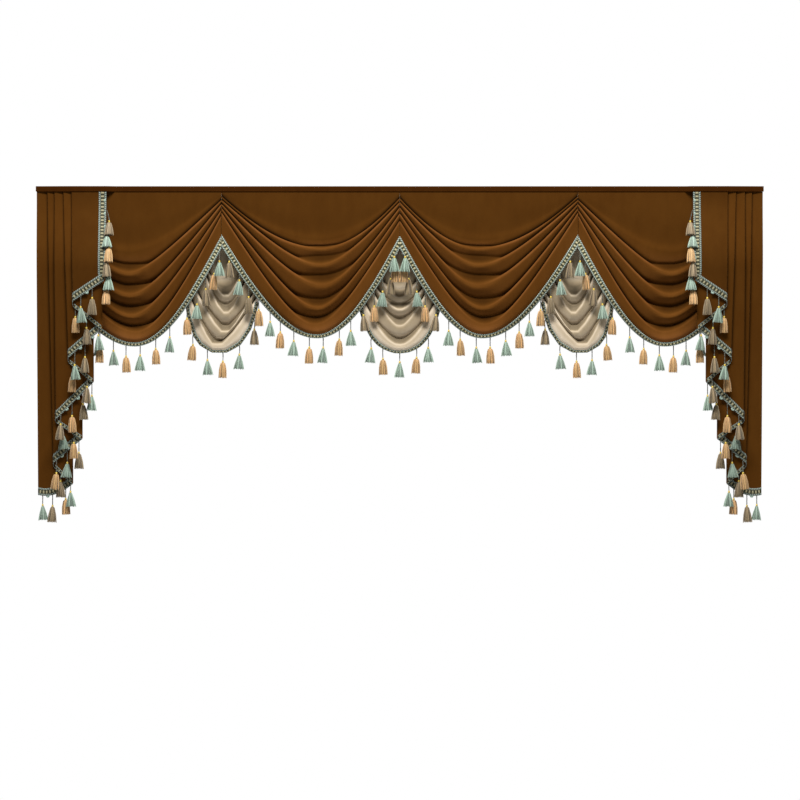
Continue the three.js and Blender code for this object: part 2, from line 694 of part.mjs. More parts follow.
// A tail and its braid, which runs down the free front edge and round the corner along the hem
function tailGroup(name) {
  const grid = tailGrid();
  const normals = sheetNormals(grid, 1, false);
  const hem = grid.length - 1;
  const hemLine = hemPlaces(grid, normals, 0, grid[0].length - 1, 1);
  const inwards = (row) => {
    const run = grid[row][0].distanceTo(grid[row][1]);
    return BRAID.onTails / run;
  };
  const edgePlace = (row) => {
    const inner = grid[row][0].clone().lerp(grid[row][1], inwards(row));
    const out = new THREE.Vector3().subVectors(grid[row][0], inner).normalize();
    return braidPlace(
      grid[row][0].clone().addScaledVector(out, BRAID.overhang),
      inner,
      normals[row][0],
      normals[row][0].clone().lerp(normals[row][1], inwards(row)).normalize(),
    );
  };
  const under = edgePlace(1);
  const places = [under];
  for (let row = 2; row < hem - 1; row++) places.push(edgePlace(row));
  const share = inwards(hem);
  const mitre = betweenPlaces(hemLine[0], hemLine[1], share);
  const tip = edgePlace(hem).outer.clone();
  tip.z = hemLine[0].outer.z;
  places.push(braidPlace(tip, mitre.inner, normals[hem][0], mitre.innerNormal));
  const corner = places.push(mitre, ...hemLine.slice(1)) - hemLine.length;
  const lean = ({ number, sway, forward }, out, root, drop) => {
    if (number === undefined) return { sway, forward, flat: TASSEL.deep };
    const follow = tailDepth(0, root.z - drop) - tailDepth(0, root.z);
    const tilt = TAIL.tilt * Math.max(drop - CORD.onTails, 0); // each lies over the cord of the next
    return { sway: TAIL.sway[number % 2], forward: follow + TAIL.lift + tilt, flat: TASSEL.pressed };
  };
  const reach = reaches(places);
  const perLayer = 4; // columns, as the grid has them
  const firstPlaces = TAIL_FOLDS.map((_, layer) => corner + perLayer * layer);
  const tassels = [
    ...spacedTassels(TAIL.firstTassel, reach[corner - 1], TAIL.kinds),
    ...placedTassels(places, reach, TAIL.tassels, firstPlaces),
  ];
  const marks = placesWithTassels(places, reach, tassels);
  const group = new THREE.Group();
  group.add(piece(name, sheetGeometry(grid, normals), MATERIALS.brown));
  group.add(
    piece(
      `braid_${name}`,
      braidGeometry(marks, (a, b, tassel) => tasselRings(a, b, tassel, lean)),
      MATERIALS.braid,
    ),
  );
  return group;
}

// The heading: a strip folded over the top edges, standing further forward over the tails
function headingGeometry() {
  const stops = HEADING_FRONT;
  const mirrored = stops.slice(0, -1).reverse().map(({ x, front }) => ({ x: -x, front }));
  const { height, tape, back } = HEADING;
  const points = [];
  const triangles = [];
  const rings = [...stops, ...mirrored].map(({ x, front }) =>
    [
      [-back, -height], [-back, 0], [front, 0], [front, -height],
      [front - tape, -height], [front - tape, -tape], [tape - back, -tape], [tape - back, -height],
    ].map(([forward, z]) => points.push(at(x, forward, z)) - 1),
  );
  rings.slice(1).forEach((ring, i) => {
    ring.forEach((_, k) => {
      const n = (k + 1) % ring.length;
      triangles.push([rings[i][k], rings[i][n], ring[n]], [rings[i][k], ring[n], ring[k]]);
    });
  });
  const cap = [[0, 1, 6], [0, 6, 7], [1, 2, 5], [1, 5, 6], [2, 3, 4], [2, 4, 5]];
  for (const [a, b, c] of cap) {
    triangles.push([rings[0][a], rings[0][c], rings[0][b]]);
    const end = rings[rings.length - 1];
    triangles.push([end[a], end[b], end[c]]);
  }
  return bodyGeometry(points, triangles);
}

// One half of the valance; the other is its mirror image
function half(side) {
  const group = new THREE.Group();
  const outer = drapeGroup(`swag_outer_${side}`, OUTER_SWAG, MATERIALS.brown, CLEAR);
  outer.position.x = -2 * SWAG_SPAN;
  const inner = drapeGroup(`swag_inner_${side}`, INNER_SWAG, MATERIALS.brown, CLEAR);
  inner.position.x = -SWAG_SPAN;
  const cowl = drapeGroup(`cowl_${side}`, SIDE_COWL, MATERIALS.cream, 0);
  cowl.position.x = -SWAG_SPAN;
  group.add(outer, inner, cowl, tailGroup(`tail_${side}`));
  if (side === "right") group.scale.x = -1;
  return group;
}

const valance = new THREE.Group();
valance.add(piece("heading", headingGeometry(), MATERIALS.brown));
valance.add(half("left"), half("right"), drapeGroup("cowl_middle", MIDDLE_COWL, MATERIALS.cream, 0));

export default valance;
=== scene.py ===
"""Dresses the velvet swag valance: draped cloths, tassel braid on every hem and a plain studio.

Sizes are in millimetres as in the part's source, and meshes are in metres. The front faces -Y, the
origin is the middle of the top edge, and "forward" is the distance towards -Y.
"""

from __future__ import annotations

import logging
import math
from dataclasses import dataclass, field, replace
from enum import Enum

import bmesh
import bpy
import numpy as np
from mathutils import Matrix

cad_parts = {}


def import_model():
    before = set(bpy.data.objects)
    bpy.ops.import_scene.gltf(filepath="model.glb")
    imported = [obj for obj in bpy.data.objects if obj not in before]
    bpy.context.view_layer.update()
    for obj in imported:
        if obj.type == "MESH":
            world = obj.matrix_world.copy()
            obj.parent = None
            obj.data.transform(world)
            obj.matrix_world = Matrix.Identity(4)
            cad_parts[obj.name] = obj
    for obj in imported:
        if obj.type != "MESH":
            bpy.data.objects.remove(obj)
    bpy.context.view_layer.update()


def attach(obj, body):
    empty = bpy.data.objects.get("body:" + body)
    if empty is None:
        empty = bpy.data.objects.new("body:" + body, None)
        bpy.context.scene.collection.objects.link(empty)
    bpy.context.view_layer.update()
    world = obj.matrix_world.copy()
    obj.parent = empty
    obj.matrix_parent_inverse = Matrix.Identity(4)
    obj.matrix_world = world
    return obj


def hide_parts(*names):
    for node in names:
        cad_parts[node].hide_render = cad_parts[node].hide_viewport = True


LOG = logging.getLogger("valance")
Array = np.ndarray
Number = np.ndarray | float
Pair = tuple[float, float]
Colour = tuple[float, float, float, float]
Material = bpy.types.Material
Socket = bpy.types.NodeSocket

MM = 0.001
TURN = 2 * math.pi
HALF_WIDTH = 1250.0
SWAG_SPAN = 612.0
CLOTH = 1.4
CLEAR = 0.4
CLOTH_TOP = -3.0
BELOW_HEADING = -20.0
TASSEL_SPACING = 52.0
BEAD_HALF = 4.6
VARIANTS = 3
SHARP_ANGLE = math.radians(60)
WHITE: Colour = (1.0, 1.0, 1.0, 1.0)
NAP = "pile_nap"


def mix(a: Number, b: Number, share: Number) -> Number:
    """The value that lies a share of the way from a to b."""
    return a + (b - a) * share


def smooth(share: Number) -> Number:
    """A share that starts and ends gently."""
    s = np.clip(share, 0, 1)
    return s * s * (3 - 2 * s)


def bell(distance: Number) -> Number:
    """1 at no distance, falling away to nothing on both sides."""
    return np.exp(-(distance**2))


def unit(vectors: Array) -> Array:
    """The same directions with length 1."""
    return vectors / np.maximum(np.linalg.norm(vectors, axis=-1, keepdims=True), 1e-9)


def lengths(line: Array) -> Array:
    """How far along a line of points, or of rows of points, each one is."""
    steps = np.linalg.norm(np.diff(line, axis=0), axis=-1)
    return np.concatenate([np.zeros((1, *steps.shape[1:])), np.cumsum(steps, axis=0)])


def between(x: Number, stations: Array, line: Array) -> Array:
    """Points of a line at places between its stations."""
    return np.stack([np.interp(x, stations, line[:, k]) for k in range(3)], -1)


def srgb(red: int, green: int, blue: int) -> Colour:
    """A colour seen on a screen, as the linear values that shaders take."""
    parts = [c / 255 for c in (red, green, blue)]
    return (*(c / 12.92 if c <= 0.04045 else ((c + 0.055) / 1.055) ** 2.4 for c in parts), 1.0)


def through(rows: Array, steps: list[int]) -> Array:
    """Smooth lines down a sheet, through its main rows.

    Args:
        rows: Main rows, each with the same number of points across the sheet.
        steps: How many rows each stretch between two main rows becomes.

    Returns:
        All rows of the smooth sheet, the main ones among them.
    """
    ends = np.concatenate([2 * rows[:1] - rows[1:2], rows, 2 * rows[-1:] - rows[-2:-1]])
    apart = np.linalg.norm(np.diff(ends, axis=0), axis=-1)
    knots = np.sqrt(np.maximum(apart, 1e-2))[..., None]
    made = []
    for i, count in enumerate(steps):
        p0, p1, p2, p3 = ends[i : i + 4]
        t1, t2, t3 = np.cumsum(knots[i : i + 3], axis=0)
        for share in np.arange(count) / count:
            t = mix(t1, t2, share)
            a1 = mix(p0, p1, t / t1)
            a2 = mix(p1, p2, (t - t1) / (t2 - t1))
            a3 = mix(p2, p3, (t - t2) / (t3 - t2))
            b1, b2 = mix(a1, a2, t / t2), mix(a2, a3, (t - t1) / (t3 - t1))
            made.append(mix(b1, b2, (t - t1) / (t2 - t1)))
    return np.stack([*made, rows[-1]])


def grid_normals(grid: Array, flush_ends: bool = False) -> Array:
    """The direction of a sheet's right side at each of its points.

    Args:
        grid: Rows of points, from the top edge down.
        flush_ends: Whether the outer columns face straight ahead, as at a seam.

    Returns:
        Unit vectors, towards the front where the columns run to +X.
    """
    normals = -np.cross(np.gradient(grid, axis=1), np.gradient(grid, axis=0))
    if flush_ends:
        normals[:, [0, -1], 0] = 0
    return unit(normals)


def circle(sides: int) -> Array:
    """Even angles all the way round."""
    return np.linspace(0, TURN, sides, endpoint=False)


def ovals(halves: Array, heights: Array, sides: int, deep: float = 1.0) -> Array:
    """Level rings one above the other.

    Args:
        halves: Half the width of each ring.
        heights: How high each one lies.
        sides: Points in a ring.
        deep: The rings' depth as a share of their width.

    Returns:
        The rings.
    """
    angle, half = circle(sides), halves[:, None]
    parts = half * np.cos(angle), deep * half * np.sin(angle), heights[:, None]
    return np.stack(np.broadcast_arrays(*parts), -1)


def rings_round(line: Array, thick: Array, sides: int, start: float = 0.0, flat: float = 1.0,
                up: tuple[float, float, float] = (0.02, 1, 0.01)) -> Array:
    """Rings of points round a line.

    Args:
        line: The line's points.
        thick: The radius at each of them.
        sides: Points in a ring.
        start: The angle of each ring's first point.
        flat: The rings' depth as a share of their width; below 0 they run the other way round.
        up: A direction that the line never takes.

    Returns:
        The rings.
    """
    along = unit(np.gradient(line, axis=0))
    side = unit(np.cross(along, up))
    front = flat * np.cross(along, side)
    angle = (start + circle(sides))[:, None]
    way = side[:, None] * np.cos(angle) + front[:, None] * np.sin(angle)
    return line[:, None] + thick[:, None, None] * way


@dataclass
class Shape:
    """Points, faces and surface data of a mesh in the making, in millimetres."""

    points: Array
    faces: list[list[int]]
    uv: Array
    tint: Array
    finish: int = 0

    @staticmethod
    def tube(rings: Array, colour: Colour | Array = WHITE, finish: int = 0) -> Shape:
        """A closed tube of one colour through rings of points.

        Args:
            rings: The rings, each with the same number of points.
            colour: The tube's colour.
            finish: Its material's place on the piece.

        Returns:
            The tube, with no UV of its own.
        """
        number = np.arange(rings.shape[0] * rings.shape[1]).reshape(rings.shape[:2])
        after = np.roll(number, -1, axis=1)
        walls = np.stack([number[:-1], after[:-1], after[1:], number[1:]], -1).reshape(-1, 4)
        faces = [*walls.tolist(), number[0, ::-1].tolist(), number[-1].tolist()]
        count = number.size
        tint = np.tile(colour, (count, 1))
        return Shape(rings.reshape(-1, 3), faces, np.zeros((count, 2)), tint, finish)

    @staticmethod
    def sheet(grid: Array, normals: Array) -> Shape:
        """A closed cloth of even thickness on both sides of a grid of points.

        Args:
            grid: Rows of points of the cloth's middle.
            normals: The right side's direction at each point.

        Returns:
            The cloth, with UV in metres across and down it.
        """
        rows, columns = grid.shape[:2]
        number = np.arange(rows * columns).reshape(rows, columns)
        corners = number[:-1, :-1], number[:-1, 1:], number[1:, 1:], number[1:, :-1]
        front = np.stack(corners, -1).reshape(-1, 4)
        rim = np.concatenate([number[0], number[1:, -1], number[-1, -2::-1], number[-2:0:-1, 0]])
        after = np.roll(rim, -1)
        edge = np.stack([after, rim, rim + number.size, after + number.size], -1)
        faces = np.concatenate([front, front[:, ::-1] + number.size, edge]).tolist()
        out = normals * CLOTH / 2
        points = np.concatenate([grid + out, grid - out]).reshape(-1, 3)
        across = np.tile(np.linspace(0, lengths(grid[-1])[-1], columns), (rows, 1))
        uv = np.tile(np.stack([across, lengths(grid)], -1).reshape(-1, 2) * MM, (2, 1))
        return Shape(points, faces, uv, np.ones((len(points), 4)))

    def mirrored(self) -> Shape:
        """The mirror image about the valance's middle, with its faces turned out again."""
        faces = [face[::-1] for face in self.faces]
        return replace(self, points=self.points * (-1, 1, 1), faces=faces)


def make_mesh(name: str, shapes: list[Shape], materials: list[Material]) -> bpy.types.Mesh:
    """A Blender mesh of several shapes, in metres.

    Args:
        name: The mesh's name.
        shapes: What it holds; each shape's finish is a place in materials.
        materials: The mesh's materials.

    Returns:
        The mesh, smooth but for its sharp edges and with its faces pointing out.
    """
    mesh = bpy.data.meshes.new(name)
    faces: list[list[int]] = []
    start = 0
    for shape in shapes:
        faces += [[start + i for i in face] for face in shape.faces]
        start += len(shape.points)
    points, uv, tint = (np.concatenate([getattr(shape, key) for shape in shapes])
                        for key in ("points", "uv", "tint"))
    mesh.from_pydata(points * MM, [], faces)
    for material in materials:
        mesh.materials.append(material)
    finishes = [shape.finish for shape in shapes for _ in shape.faces]
    mesh.polygons.foreach_set("material_index", finishes)
    corner = np.zeros(len(mesh.loops), np.int32)
    mesh.loops.foreach_get("vertex_index", corner)
    layer = mesh.uv_layers.new(name="UVMap")
    layer.data.foreach_set("uv", uv[corner].astype(np.float32).ravel())
    paint = mesh.color_attributes.new("tint", "FLOAT_COLOR", "POINT")
    paint.data.foreach_set("color", tint.astype(np.float32).ravel())
    work = bmesh.new()
    work.from_mesh(mesh)
    bmesh.ops.recalc_face_normals(work, faces=work.faces)
    work.to_mesh(mesh)
    work.free()
    mesh.polygons.foreach_set("use_smooth", [True] * len(mesh.polygons))
    mesh.set_sharp_from_angle(angle=SHARP_ANGLE)
    return mesh


def make_piece(name: str, node: str, shapes: list[Shape],
               materials: list[Material]) -> bpy.types.Object:
    """A piece of the valance that stands for a CAD node.

    Args:
        name: The piece's name.
        node: The CAD node that it replaces.
        shapes: What its mesh holds.
        materials: Its materials.

    Returns:
        The piece, riding on the valance's one body.
    """
    piece = bpy.data.objects.new(name, make_mesh(name, shapes, materials))
    bpy.context.scene.collection.objects.link(piece)
    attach(piece, "root")
    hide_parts(node)
    LOG.info("%s: %d faces", name, len(piece.data.polygons))
    return piece


def collect(name: str, groups: list[list[Shape]]) -> bpy.types.Collection:
    """A collection of shapes that isn't linked to the scene.

    Args:
        name: The collection's name.
        groups: What each of its objects holds.

    Returns:
        The collection.
    """
    made = bpy.data.collections.new(name)
    for i, shapes in enumerate(groups):
        label = f"{name}_{i:02d}"
        made.objects.link(bpy.data.objects.new(label, make_mesh(label, shapes, [])))
    return made


class Side(Enum):
    """Which part of the valance a piece belongs to."""

    LEFT = "left"
    RIGHT = "right"
    MIDDLE = "middle"


class Nodes:
    """A node tree with short ways to add nodes, link them and do sums."""

    def __init__(self, tree: bpy.types.NodeTree) -> None:
        """Starts on an empty tree."""
        self.tree = tree
        tree.nodes.clear()

    def add(self, kind: str, inputs: dict | None = None, **settings: object) -> bpy.types.Node:
        """A new node.

        Args:
            kind: The node's type.
            inputs: Input socket to a value, or to the output socket that feeds it.
            settings: The node's own properties.

        Returns:
            The node.
        """
        node = self.tree.nodes.new(kind)
        for key, value in settings.items():
            setattr(node, key, value)
        for key, value in (inputs or {}).items():
            if isinstance(value, Socket):
                self.tree.links.new(value, node.inputs[key])
            else:
                node.inputs[key].default_value = value
        return node

    def sum(self, operation: str, *values: object) -> Socket:
        """The result of one arithmetic step."""
        return self.add("ShaderNodeMath", dict(enumerate(values)), operation=operation).outputs[0]

    def blend(self, share: object, first: object, second: object, way: str = "MIX") -> Socket:
        """A colour between two others."""
        sockets = {0: share, 6: first, 7: second}
        return self.add("ShaderNodeMix", sockets, data_type="RGBA", blend_type=way).outputs[2]

    def noise(self, where: Socket, scale: object, detail: float) -> Socket:
        """A soft random value over the surface."""
        sockets = {"Vector": where, "Scale": scale, "Detail": detail}
        return self.add("ShaderNodeTexNoise", sockets).outputs["Fac"]

    def ramp(self, value: object, low: float, high: float) -> Socket:
        """A value stretched from a range to 0 and 1."""
        sockets = {0: value, 1: low, 2: high}
        return self.add("ShaderNodeMapRange", sockets, interpolation_type="SMOOTHSTEP").outputs[0]

    def bump(self, height: Socket, strength: float, distance: float) -> Socket:
        """A normal tilted by small heights, which distance scales in metres."""
        sockets = {"Strength": strength, "Distance": distance, "Height": height}
        return self.add("ShaderNodeBump", sockets).outputs[0]

    def where(self) -> Socket:
        """The place on the object."""
        return self.add("ShaderNodeTexCoord").outputs["Object"]

    def tint(self) -> Socket:
        """The mesh's own colour."""
        return self.add("ShaderNodeVertexColor", layer_name="tint").outputs[0]

    def nap_and_painted_shade(self, **scales: float) -> bpy.types.bpy_prop_collection:
        """Places the node group of the nap's unevenness.

        Args:
            scales: Scales that differ from the group's own, by the outputs' names.

        Returns:
            The group's outputs.
        """
        inputs = {f"{name} Scale": scale for name, scale in scales.items()}
        return self.add("ShaderNodeGroup", inputs, node_tree=bpy.data.node_groups[NAP]).outputs


def make_nap() -> None:
    """Makes the node group of the nap's unevenness: Cloudy, Streaks and Fibre over the surface."""
    tree = bpy.data.node_groups.new(NAP, "ShaderNodeTree")
    kinds = {"Cloudy": (6.0, 1.0, 4.0), "Streaks": (40.0, 0.35, 3.0), "Fibre": (900.0, 1.0, 2.0)}
    socket = tree.interface.new_socket
    for name, (scale, _, _) in kinds.items():
        value = socket(f"{name} Scale", in_out="INPUT", socket_type="NodeSocketFloat")
        value.default_value = scale
        socket(name, in_out="OUTPUT", socket_type="NodeSocketFloat")
    nodes = Nodes(tree)
    given = nodes.add("NodeGroupInput").outputs
    made = {}
    for name, (_, tall, detail) in kinds.items():
        where = nodes.where()
        if tall != 1.0:
            stretch = {"Vector": where, "Scale": (1.0, 1.0, tall)}
            where = nodes.add("ShaderNodeMapping", stretch).outputs[0]
        made[name] = nodes.noise(where, given[f"{name} Scale"], detail)
    nodes.add("NodeGroupOutput", made)


@dataclass(frozen=True)
class Finish:
    """A material's name, and how its Principled shader is fed."""

    name: str

    def look(self, nodes: Nodes) -> dict[str, object]:
        """How the shader is fed.

        Args:
            nodes: The material's node tree.

        Returns:
            The Principled shader's inputs.
        """
        raise NotImplementedError

    def material(self) -> Material:
        """Builds the finish.

        Returns:
            The material.
        """
        made = bpy.data.materials.new(self.name)
        made.use_nodes = True
        nodes = Nodes(made.node_tree)
        shader = nodes.add("ShaderNodeBsdfPrincipled", self.look(nodes))
        nodes.add("ShaderNodeOutputMaterial", {"Surface": shader.outputs[0]})
        return made


@dataclass(frozen=True)
class Velvet(Finish):
    """Velvet cloth with a cut nap: its colour in the shade and in the light of the nap, and its
    sheen.
    """

    deep: Colour
    light: Colour
    sheen: float
    sheen_tint: Colour
    sheen_roughness: float = 0.4
    rough: float = 0.9

    def look(self, nodes: Nodes) -> dict[str, object]:
        """How the shader is fed.

        Args:
            nodes: The material's node tree.

        Returns:
            The Principled shader's inputs.
        """
        nap_and_painted_shade = nodes.nap_and_painted_shade()
        streaks = nodes.sum("MULTIPLY", nap_and_painted_shade["Streaks"], 0.45)
        cloud = nodes.sum("MULTIPLY_ADD", nap_and_painted_shade["Cloudy"], 0.55, streaks)
        patches = nodes.sum("MULTIPLY_ADD", nodes.ramp(cloud, 0.3, 0.72), 0.3, 0.35)
        share = nodes.sum("ADD", patches, nodes.sum("MULTIPLY_ADD", nap_and_painted_shade["Fibre"], 0.5, -0.25))
        colour = nodes.blend(share, self.deep, self.light)
        ribs = nodes.sum("MULTIPLY", nap_and_painted_shade["Streaks"], 0.9)
        height = nodes.sum("MULTIPLY_ADD", nap_and_painted_shade["Fibre"], 0.5, ribs)
        # The tint attribute multiplies in the painted shade and highlight of the drapes and tails.
        return {"Base Color": nodes.blend(1.0, colour, nodes.tint(), "MULTIPLY"),
                "Normal": nodes.bump(height, 0.22, 0.0012), "Roughness": self.rough,
                "Sheen Weight": self.sheen, "Sheen Roughness": self.sheen_roughness,
                "Sheen Tint": self.sheen_tint, "Specular IOR Level": 0.03}


@dataclass(frozen=True)
class BraidWeave(Finish):
    """Woven braid: pale cords along both edges and a row of squares down the middle.

    It reads the strip's own UV: metres along it and a share across it. Row_ends and cord_starts are
    shares of the width from its middle, over which the squares end and the cords start.
    """

    name: str = "braid_weave"
    cord: Colour = srgb(176, 190, 180)
    cord_shade: Colour = srgb(80, 90, 78)
    ground: Colour = srgb(58, 58, 32)
    square: Colour = srgb(196, 188, 148)
    hollow: Colour = (0.08, 0.08, 0.06, 1)
    square_period: float = 0.0124
    cord_period: float = 0.0070
    cord_slant: float = 14.0
    row_ends: Pair = (0.21, 0.17)
    cord_starts: Pair = (0.24, 0.28)

    def look(self, nodes: Nodes) -> dict[str, object]:
        """How the shader is fed.

        Args:
            nodes: The material's node tree.

        Returns:
            The Principled shader's inputs.
        """
        uv = nodes.add("ShaderNodeUVMap", uv_map="UVMap").outputs[0]
        along, across, _ = nodes.add("ShaderNodeSeparateXYZ", {0: uv}).outputs
        off = nodes.sum("ABSOLUTE", nodes.sum("SUBTRACT", across, 0.5))
        turn = nodes.sum("SINE", nodes.sum("MULTIPLY", along, TURN / self.square_period))
        in_row, in_cord = nodes.ramp(off, *self.row_ends), nodes.ramp(off, *self.cord_starts)
        squares = nodes.sum("MULTIPLY", nodes.ramp(turn, 0.0, 0.35), in_row)
        twist = nodes.sum("MULTIPLY", along, TURN / self.cord_period)
        slant = nodes.sum("MULTIPLY_ADD", off, self.cord_slant, twist)
        ply = nodes.ramp(nodes.sum("SINE", slant), -0.7, 0.5)
        cord = nodes.blend(ply, self.cord_shade, self.cord)
        colour = nodes.blend(in_cord, nodes.blend(squares, self.ground, self.square), cord)
        yarn = nodes.noise(nodes.where(), 1500.0, 2.0)
        colour = nodes.blend(nodes.sum("MULTIPLY", yarn, 0.5), colour, self.hollow, "MULTIPLY")
        fuzz = nodes.sum("MULTIPLY_ADD", yarn, 0.35, nodes.sum("MULTIPLY", squares, 0.6))
        height = nodes.sum("ADD", nodes.sum("MULTIPLY", ply, in_cord), fuzz)
        # The tint carries the braid's painted light and shade.
        return {"Base Color": nodes.blend(1.0, colour, nodes.tint(), "MULTIPLY"),
                "Normal": nodes.bump(height, 0.6, 0.0008), "Roughness": 0.7,
                "Sheen Weight": 0.15, "Specular IOR Level": 0.3}


@dataclass(frozen=True)
class Yarn(Finish):
    """Silky yarn that takes its colour from each strand."""

    name: str = "tassel_yarn"
    shade: Colour = (0.45, 0.42, 0.38, 1)

    def look(self, nodes: Nodes) -> dict[str, object]:
        """How the shader is fed.

        Args:
            nodes: The material's node tree.

        Returns:
            The Principled shader's inputs.
        """
        nap_and_painted_shade = nodes.nap_and_painted_shade(Cloudy=60.0, Streaks=500.0, Fibre=1600.0)
        dark = nodes.sum("MULTIPLY", nodes.ramp(nap_and_painted_shade["Streaks"], 0.7, 0.3), 0.35)
        # The tint holds each strand's own tone and the painted shade of the skirts' cores.
        return {"Base Color": nodes.blend(dark, nodes.tint(), self.shade, "MULTIPLY"),
                "Normal": nodes.bump(nap_and_painted_shade["Fibre"], 0.3, 0.0006), "Roughness": 0.6,
                "Sheen Weight": 0.25, "Specular IOR Level": 0.35}


@dataclass(frozen=True)
class GoldThread(Finish):
    """Gold thread wound round a tassel's neck."""

    name: str = "gold_thread"
    colour: Colour = srgb(250, 224, 104)
    shade: Colour = srgb(206, 166, 62)

    def look(self, nodes: Nodes) -> dict[str, object]:
        """How the shader is fed.

        Args:
            nodes: The material's node tree.

        Returns:
            The Principled shader's inputs.
        """
        sockets = {"Vector": nodes.where(), "Scale": 320.0, "Distortion": 1.5}
        wave = nodes.add("ShaderNodeTexWave", sockets, wave_type="BANDS", bands_direction="Z")
        turns = wave.outputs["Fac"]
        return {"Base Color": nodes.blend(turns, self.shade, self.colour),
                "Normal": nodes.bump(turns, 0.5, 0.0005), "Roughness": 0.4, "Metallic": 0.15}


@dataclass(frozen=True)
class TasselKind:
    """One kind of tassel: its skirt's length, half widths and its yarn's colour."""

    length: float
    shoulder: float
    waist: float
    hem: float
    colour: Colour


class Tassel(Enum):
    """The three kinds of tassel."""

    TEAL = TasselKind(50, 6.5, 11.5, 17.5, srgb(164, 186, 168))
    GOLD = TasselKind(54, 9.5, 12.5, 14.0, srgb(220, 178, 122))
    TAUPE = TasselKind(54, 8.0, 12.0, 15.5, srgb(160, 140, 108))


TEAL, GOLD, TAUPE = Tassel


@dataclass
class Hanging:
    """Where one repeated shape hangs: which shape, its place, turn and size."""

    shape: int
    place: Array
    turn: tuple[float, float, float] = (0, 0, 0)
    size: tuple[float, float, float] = (1, 1, 1)


class HangingTree:
    """A Geometry Nodes tree that sets one of several shapes on each point of a mesh."""

    def __init__(self, name: str) -> None:
        """Builds the tree, with the shapes' collection and the material as named inputs.

        Args:
            name: The tree's name.
        """
        self.tree = bpy.data.node_groups.new(name, "GeometryNodeTree")
        given = {}
        kinds = {"Geometry": "Geometry", "Shapes": "Collection", "Finish": "Material"}
        for label, kind in kinds.items():
            socket = self.tree.interface.new_socket(
                label, in_out="INPUT", socket_type=f"NodeSocket{kind}")
            given[label] = socket.identifier
        self.tree.interface.new_socket(
            "Geometry", in_out="OUTPUT", socket_type="NodeSocketGeometry")
        self.shapes, self.finish = given["Shapes"], given["Finish"]
        nodes = Nodes(self.tree)
        inputs = nodes.add("NodeGroupInput").outputs
        choice = nodes.add("GeometryNodeCollectionInfo", {
            "Collection": inputs["Shapes"], "Separate Children": True, "Reset Children": True})
        which, turn, size = (
            nodes.add("GeometryNodeInputNamedAttribute", {"Name": key}, data_type=kind).outputs[0]
            for key, kind in (("shape", "INT"), ("turn", "FLOAT_VECTOR"), ("size", "FLOAT_VECTOR")))
        turned = nodes.add("FunctionNodeEulerToRotation", {0: turn})
        hung = nodes.add("GeometryNodeInstanceOnPoints", {
            "Points": inputs["Geometry"], "Instance": choice.outputs[0], "Pick Instance": True,
            "Instance Index": which, "Rotation": turned.outputs[0], "Scale": size})
        real = nodes.add("GeometryNodeRealizeInstances", {"Geometry": hung.outputs[0]})
        dressed = nodes.add("GeometryNodeSetMaterial", {
            "Geometry": real.outputs[0], "Material": inputs["Finish"]})
        nodes.add("NodeGroupOutput", {"Geometry": dressed.outputs[0]})

    def hang(self, places: list[Hanging], shapes: bpy.types.Collection, material: Material,
             finish: int) -> Shape:
        """Repeats shapes at their places.

        Args:
            places: Where each one hangs.
            shapes: The shapes, numbered in the order of their names.
            material: The material that they get.
            finish: That material's place on the piece.

        Returns:
            All of them as one shape.
        """
        mesh = bpy.data.meshes.new("places")
        mesh.from_pydata([p.place * MM for p in places], [], [])
        which = mesh.attributes.new("shape", "INT", "POINT")
        which.data.foreach_set("value", [p.shape for p in places])
        for name in ("turn", "size"):
            values = np.array([getattr(p, name) for p in places], np.float32)
            made = mesh.attributes.new(name, "FLOAT_VECTOR", "POINT")
            made.data.foreach_set("vector", values.ravel())
        carrier = bpy.data.objects.new("places", mesh)
        bpy.context.scene.collection.objects.link(carrier)
        modifier = carrier.modifiers.new("hang", "NODES")
        modifier.node_group = self.tree
        modifier[self.shapes] = shapes
        modifier[self.finish] = material
        graph = bpy.context.evaluated_depsgraph_get()
        hung = bpy.data.meshes.new_from_object(carrier.evaluated_get(graph))
        count = len(hung.vertices)
        points, tint = np.zeros(count * 3, np.float32), np.ones(count * 4, np.float32)
        hung.vertices.foreach_get("co", points)
        hung.attributes["tint"].data.foreach_get("color", tint)
        faces = [list(polygon.vertices) for polygon in hung.polygons]
        carrier.modifiers.remove(modifier)
        bpy.data.objects.remove(carrier)
        bpy.data.meshes.remove(hung)
        return Shape(points.reshape(-1, 3) / MM, faces, np.zeros((count, 2)),
                     tint.reshape(-1, 4), finish)


